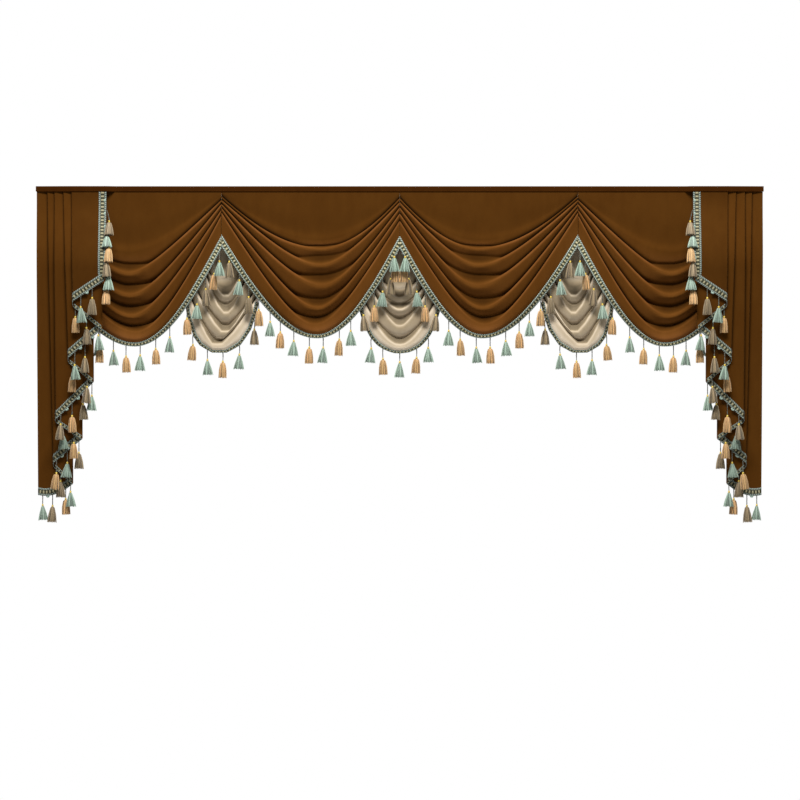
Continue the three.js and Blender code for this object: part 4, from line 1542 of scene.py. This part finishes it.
    def hem_strip(self, grid: Array, normals: Array, span: slice) -> tuple[HemStrip, Array]:
        """The cloth along part of the hem.

        Args:
            grid: The tail's cloth.
            normals: Its right-side directions.
            span: The columns.

        Returns:
            The strip's cloth and how far up it the braid's inner edge lies.
        """
        hem = HemStrip.lowest(grid, normals, self.hem_rows, span)
        along = unit(np.gradient(hem.lines[:, 0], axis=0))
        slant = np.sqrt(np.maximum(1 - along[:, 2] ** 2, self.least_slant))
        return hem, self.braid.width / slant

    def edge_roots(self, edge: Array) -> tuple[list[Root], list[Root]]:
        """Evenly spaced tassels down the front edge, and loops half way between them.

        Args:
            edge: The braid's outer edge there.

        Returns:
            Where the tassels and the loops start.
        """
        over, front = self.braid.overhang, self.FOLDS[0]
        bends = [(front.top + over, -self.depth(0, z), z) for z in (-20.0, -110.0, -200.0, -280.0)]
        low = front.hem + over, -self.depth(0, front.height), front.height - over
        coarse = np.array([*bends, low])
        far = lengths(coarse)
        roots: list[Root] = []
        loops: list[Root] = []
        for n in range(int((far[-1] - self.first_tassel) / TASSEL_SPACING) + 1):
            hung = Hung(0.0, self.KINDS[n % len(self.KINDS)], self.edge_cord)
            for keep, shift in ((roots, 0.0), (loops, -0.5)):
                start = self.first_tassel + (n + shift) * TASSEL_SPACING
                k = int(np.argmin(np.abs(edge[:, 2] - np.interp(start, far, coarse[:, 2]))))
                along = unit(edge[min(k + 1, len(edge) - 1)] - edge[max(k - 1, 0)])
                keep.append(Root(edge[k], np.array([1.0, 0, 0]), hung, n, along))
        return roots, loops

    @staticmethod
    def hem_root(line: Array, x: float, hung: Hung | None = None, number: int = 0) -> Root:
        """A place on one layer's hem.

        Args:
            line: The braid's outer edge along that layer.
            x: Where the place is.
            hung: The tassel there, if it is one.
            number: The tassel's number.

        Returns:
            The place.
        """
        line = line[np.argsort(line[:, 0])]
        down = np.array([0, 0, -1.0])
        return Root(between(x, line[:, 0], line), down, hung, number, unit(line[-1] - line[0]))

    def build(self, shop: Workshop) -> None:
        """Makes the cloth and its braid.

        Args:
            shop: Finishes and the shapes that repeat.
        """
        grid, spans = self.grid()
        normals = -grid_normals(grid)
        sheet = Shape.sheet(grid, normals)
        # The painted shade goes into the tint attribute.
        sheet.tint[:, :3] = np.tile(self.shade(grid, spans).ravel(), 2)[:, None]
        front = np.s_[1:-4, : self.per_layer]
        beside = HemStrip(grid[front], normals[front])
        edge_strip, edge = self.braid.strip(beside, np.full(len(beside.lines), self.braid.width))
        hem_strip, low = self.braid.strip(*self.hem_strip(grid, normals, slice(None)))
        shapes = [edge_strip, hem_strip]
        for span in spans[1::2]:
            hem, rises = self.hem_strip(grid, normals, span)
            shapes.append(self.braid.strip(hem, rises * self.far_side, facing=-1.0)[0])
        roots, loops = self.edge_roots(edge)
        roots += [self.hem_root(low[spans[hung.layer]], hung.x, hung, number)
                  for number, hung in enumerate(self.TASSELS)]
        for before, after in zip(self.TASSELS, self.TASSELS[1:]):
            if before.layer == after.layer and before.layer % 2 == 0:
                loops.append(self.hem_root(low[spans[before.layer]], (before.x + after.x) / 2))
        self.sew(sheet, shapes + self.braid.tassels(roots, loops, shop), shop)


@dataclass
class Heading:
    """The binding folded over all top edges, standing further forward over the tails.

    Fronts is how far forward its front lies, at distances from the middle.
    """

    height: float = 18.0
    tape: float = 1.6
    back: float = 3.8
    round_top: float = 2.6
    stitch: float = 6.0
    stitch_rise: float = 3.2
    thread: float = 0.32
    flat: Pair = (2 * HALF_WIDTH * MM, 0.062)
    shown: float = 0.045
    tint: Colour = (0.58, 0.45, 0.25, 1)
    fronts: tuple[Pair, ...] = (
        (0.0, 4.0), (979.0, 4.0), (1005.0, 22.0), (1129.0, 22.0), (1214.0, 10.6), (HALF_WIDTH, 7.0))

    def front_at(self, x: Number) -> Number:
        """How far forward the binding's front lies over the cloth that it holds."""
        return np.interp(np.abs(x), *np.array(self.fronts).T)

    def build(self, shop: Workshop) -> None:
        """Makes the binding and its row of stitches.

        Args:
            shop: Finishes and what sets the stitches in place.
        """
        half = HALF_WIDTH
        corners = np.array(self.fronts)[:, 0]
        stations = np.unique([*np.arange(-half, half, 25.0), half, *corners, *-corners])
        rings = []
        for x in stations:
            front = float(self.front_at(x))
            outer = self.profile(-self.back, front, 0.0)
            inner = self.profile(-self.back + self.tape, front - self.tape, -self.tape)[::-1]
            rings.append([(x, -forward, z) for forward, z in [*outer, *inner]])
        stitches = collect("stitches", [[self.one_stitch()]])
        low = self.stitch_rise - self.height
        rows = [Hanging(0, np.array([x, -float(self.front_at(x)) - 0.1, low]))
                for x in np.arange(-half + 8, half - 6, self.stitch)]
        thread = Velvet("thread", srgb(66, 36, 8), srgb(104, 66, 28), 0.0, WHITE).material()
        shapes = [Shape.tube(np.array(rings), self.tint), shop.tree.hang(rows, stitches, thread, 1)]
        piece = make_piece("heading_binding", "heading", shapes,
                           [shop.velvets["velvet_brown"], thread])

    def profile(self, back: float, front: float, top: float) -> list[Pair]:
        """A line up the back, round over the top and down the front.

        Args:
            back: How far forward the back is.
            front: How far forward the front is.
            top: The top's height.

        Returns:
            Its points, as forward and height.
        """
        r = max(min(self.round_top + top, (front - back) / 2), 0.4)
        turns = [(r * (1 - math.cos(a)), top - r * (1 - math.sin(a)))
                 for a in np.linspace(0.3, math.pi / 2, 4)]
        swell = front + 0.25 * (top == 0)
        return [(back, -self.height), (back, top - r), *((back + x, z) for x, z in turns),
                *((front - x, z) for x, z in turns[::-1]), (front, top - r),
                (swell, -self.height * 0.55), (front, -self.height)]

    def one_stitch(self) -> Shape:
        """One stitch of thread.

        Returns:
            The stitch, lying along X.
        """
        line = np.array([[-2.0, 0.15, 0], [-1.2, -0.3, 0], [1.2, -0.3, 0], [2.0, 0.15, 0]])
        angle = circle(4)
        ring = np.stack([np.zeros(4), np.cos(angle), np.sin(angle)], -1)
        return Shape.tube(line[:, None] + self.thread * ring)


@dataclass
class Studio:
    """Camera, light and floor, in metres."""

    distance: float = 24.0
    frame_width: float = 2.7448
    eye: tuple[float, float, float] = (0.0009, -24.03, -0.7343)
    sensor: float = 36.0
    aim: float = -0.45
    floor: float = -2.6
    floor_half: float = 4.0

    def build(self) -> None:
        """Makes all of the studio."""
        scene = bpy.context.scene
        scene.view_settings.view_transform = "Standard"
        lens = bpy.data.cameras.new("camera")
        lens.sensor_width = self.sensor
        lens.lens = self.sensor * self.distance / self.frame_width
        lens.clip_end = 200.0
        camera = bpy.data.objects.new("camera", lens)
        camera.location = self.eye
        camera.rotation_euler = (math.pi / 2, 0, 0)
        scene.collection.objects.link(camera)
        scene.camera = camera
        self.light("key", (0.0, -3.2, 5.4), 900.0, (5.0, 1.0))
        self.light("fill", (0.0, -6.0, -0.4), 8.0, (4.0, 3.0))
        self.world(scene)
        self.ground(scene)

    def light(self, name: str, place: tuple[float, float, float], power: float, size: Pair) -> None:
        """A soft panel of light that faces the valance.

        Args:
            name: Its name.
            place: Where it hangs.
            power: Its power in watts.
            size: Its width and height.
        """
        lamp = bpy.data.lights.new(name, "AREA")
        lamp.shape = "RECTANGLE"
        lamp.size, lamp.size_y = size
        lamp.energy = power
        panel = bpy.data.objects.new(name, lamp)
        panel.location = place
        down = math.atan2(place[2] - self.aim, -place[1])
        panel.rotation_euler = (math.pi / 2 - down, 0, 0)
        bpy.context.scene.collection.objects.link(panel)

    @staticmethod
    def world(scene: bpy.types.Scene) -> None:
        """White surroundings that light the valance softly.

        Args:
            scene: The scene that they belong to.
        """
        world = bpy.data.worlds.new("studio")
        world.use_nodes = True
        nodes = Nodes(world.node_tree)
        seen = nodes.add("ShaderNodeLightPath").outputs["Is Camera Ray"]
        power = nodes.sum("MULTIPLY_ADD", seen, 0.94, 0.06)
        shader = nodes.add("ShaderNodeBackground", {"Color": WHITE, "Strength": power})
        nodes.add("ShaderNodeOutputWorld", {"Surface": shader.outputs[0]})
        scene.world = world

    def ground(self, scene: bpy.types.Scene) -> None:
        """A plain pale floor well below the valance.

        Args:
            scene: The scene that it belongs to.
        """
        half = self.floor_half
        signs = ((-1, -1), (1, -1), (1, 1), (-1, 1))
        corners = [(x * half, y * half, self.floor) for x, y in signs]
        mesh = bpy.data.meshes.new("floor")
        mesh.from_pydata(corners, [], [[0, 1, 2, 3]])
        material = bpy.data.materials.new("floor")
        material.use_nodes = True
        shader = material.node_tree.nodes["Principled BSDF"]
        shader.inputs["Base Color"].default_value = (0.86, 0.86, 0.85, 1)
        shader.inputs["Roughness"].default_value = 0.8
        mesh.materials.append(material)
        ground = bpy.data.objects.new("floor", mesh)
        scene.collection.objects.link(ground)


def outer_swag(side: Side) -> Drape:
    """A swag next to a tail.

    Args:
        side: Where it hangs.

    Returns:
        The swag.
    """
    return Drape(
        name=f"swag_outer_{side.value}", place=-2 * SWAG_SPAN, ends=(0, SWAG_SPAN),
        back=1.2, layer=2.4,
        folds=(
            Fold(292, -228, 0.5, -34, -34, 20, crease=-120, tuck=9),
            Fold(294, -292, 0.25, -76, -48, 33, crease=-268, tuck=24),
            Fold(298, -367, 0.3, -116, -62, 40, crease=-335, tuck=26),
            Fold(303, -439, 0.32, -156, -82, 45, crease=-409, tuck=26),
            Fold(318, -497, 0.45, -192, -101, 47, crease=-477, tuck=22)),
        hem=Hem(314, -547, 0.9, -270, -212, 25, at_ends=28),
        braid=Braid(20, 11), rolls=(0.6, 0.24),
        tassels=(
            Hung(140, GOLD), Hung(192, TEAL), Hung(242, TEAL), Hung(285, GOLD, 35), Hung(333, TEAL),
            Hung(386, GOLD), Hung(434, TEAL), Hung(493, GOLD, 40), Hung(528, TEAL, 40),
            Hung(558, TAUPE, 37), Hung(587, GOLD, 38), Hung(606, TEAL, over=12.5)),
        flat=(0.96, 0.65), area=0.345, mirrored=side is Side.RIGHT, seed=3)


def inner_swag(side: Side) -> Drape:
    """A swag next to the middle.

    Args:
        side: Where it hangs.

    Returns:
        The swag.
    """
    return Drape(
        name=f"swag_inner_{side.value}", place=-SWAG_SPAN, ends=(0, SWAG_SPAN),
        back=1.2, layer=2.4,
        folds=(
            Fold(336, -184, 1.2, -28, -32, 13, crease=-100, tuck=6),
            Fold(339, -211, 1.2, -36, -42, 24, crease=-205, tuck=17),
            Fold(339, -265, 0.4, -48, -56, 33, crease=-238, tuck=17),
            Fold(346, -333, 0.4, -62, -74, 40, crease=-303, tuck=21),
            Fold(330, -412, 0.3, -76, -95, 45, crease=-385, tuck=22),
            Fold(322, -470, 0.35, -92, -120, 47, crease=-448, tuck=19)),
        hem=Hem(328, -519, 0.9, -204, -212, 25, at_ends=28),
        braid=Braid(20, 12), rolls=(0.24, 0.42),
        tassels=(
            Hung(27, TAUPE, 8, over=3), Hung(62, TEAL, 17), Hung(94, TAUPE), Hung(129, GOLD),
            Hung(168, TEAL), Hung(203, GOLD), Hung(249, TEAL), Hung(302, GOLD), Hung(349, TEAL),
            Hung(404, GOLD), Hung(443, TEAL), Hung(487, TAUPE), Hung(524, GOLD, 47),
            Hung(553, TEAL, 42), Hung(581, TAUPE, 47), Hung(597, GOLD, over=11.5),
            Hung(605, TEAL, 12, sway=-11.5, over=24.5)),
        flat=(0.98, 0.64), area=0.343, mirrored=side is Side.RIGHT, seed=4)


def cowl(side: Side) -> Drape:
    """A cowl behind the seam between two swags.

    Args:
        side: Where it hangs.

    Returns:
        The cowl.
    """
    common = dict(
        name=f"cowl_{side.value}", back=-1, layer=2, slot="velvet_cream", flat=(0.5, 0.64),
        area=0.1, seam_gap=0.0, braid_reach=0.92, columns=97, coarse=11, ripple=0.8,
        rolls=(0.55, 0.55),
        pleat_drop=5.0, braid=Braid(12, 13, light=(1.7, 0.8)))
    if side is Side.MIDDLE:
        return Drape(
            **common, ends=(-42, 42), seed=6, shape=ROUND_ROLLS,
            folds=(
                Fold(0, -330, 0.5, -235, -235, -3, -42, 42, crease=-150, tuck=9),
                Fold(0, -378, 0.5, -315, -315, 10, -66, 66, crease=-352, tuck=22),
                Fold(0, -420, 0.5, -338, -338, 16, -88, 88, crease=-398, tuck=24),
                Fold(0, -477, 0.35, -345, -345, 20, -104, 104, crease=-444, tuck=30),
                Fold(0, -541, 0.6, -385, -385, 21, -130, 130, crease=-516, tuck=24)),
            hem=Hem(0, -571, 2, -395, -395, 6, -143, 143, bulge=20, at_ends=10),
            tassels=(
                Hung(-97, TEAL), Hung(-57, GOLD), Hung(0, TEAL), Hung(57, GOLD), Hung(97, TEAL)))
    return Drape(
        **common, place=-SWAG_SPAN, ends=(-40, 46), seed=5, shape=SHARP_ROLLS,
        mirrored=side is Side.RIGHT,
        folds=(
            Fold(8, -281, 0.4, -225, -222, -3, -40, 46, crease=-150, tuck=9),
            Fold(14, -374, 0.45, -283, -275, 10, -50, 78, crease=-318, tuck=24),
            Fold(15, -432, 0.5, -285, -300, 16, -62, 92, crease=-397, tuck=28),
            Fold(14, -500, 0.3, -350, -362, 20, -92, 112, crease=-470, tuck=30),
            Fold(-18, -545, 0.3, -372, -380, 21, -112, 124, crease=-527, tuck=24)),
        hem=Hem(-8, -571, 2, -390, -370, 6, -124, 130, bulge=22, at_ends=10),
        tassels=(
            Hung(-97, GOLD), Hung(-48, TEAL), Hung(4, GOLD), Hung(61, TEAL), Hung(112, TAUPE)))


def tail(side: Side) -> Tail:
    """A tail at one end.

    Args:
        side: Where it hangs.

    Returns:
        The tail.
    """
    return Tail(name=f"tail_{side.value}", braid=TailBraid(22, 14, light=(0.8, 0.8)),
                flat=(1.05, 1.06), area=0.70, mirrored=side is Side.RIGHT)


def main() -> None:
    """Builds the valance and its studio."""
    logging.basicConfig(level=logging.INFO, format="%(name)s: %(message)s")
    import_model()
    Studio().build()
    make_nap()
    velvets = (
        Velvet("velvet_brown", srgb(65, 35, 5), srgb(87, 53, 15), 0.25, srgb(200, 140, 80)),
        Velvet("velvet_cream", srgb(143, 125, 98), srgb(167, 150, 122), 0.3, srgb(255, 246, 230),
               rough=0.6))
    shop = Workshop(
        {velvet.name: velvet.material() for velvet in velvets},
        [finish.material() for finish in (BraidWeave(), Yarn(), GoldThread())],
        Trimmings(), HangingTree("hang_shapes"))
    Heading().build(shop)
    for side in (Side.LEFT, Side.RIGHT):
        for cloth in (outer_swag(side), inner_swag(side), cowl(side), tail(side)):
            cloth.build(shop)
    cowl(Side.MIDDLE).build(shop)


if __name__ == "__main__":
    main()
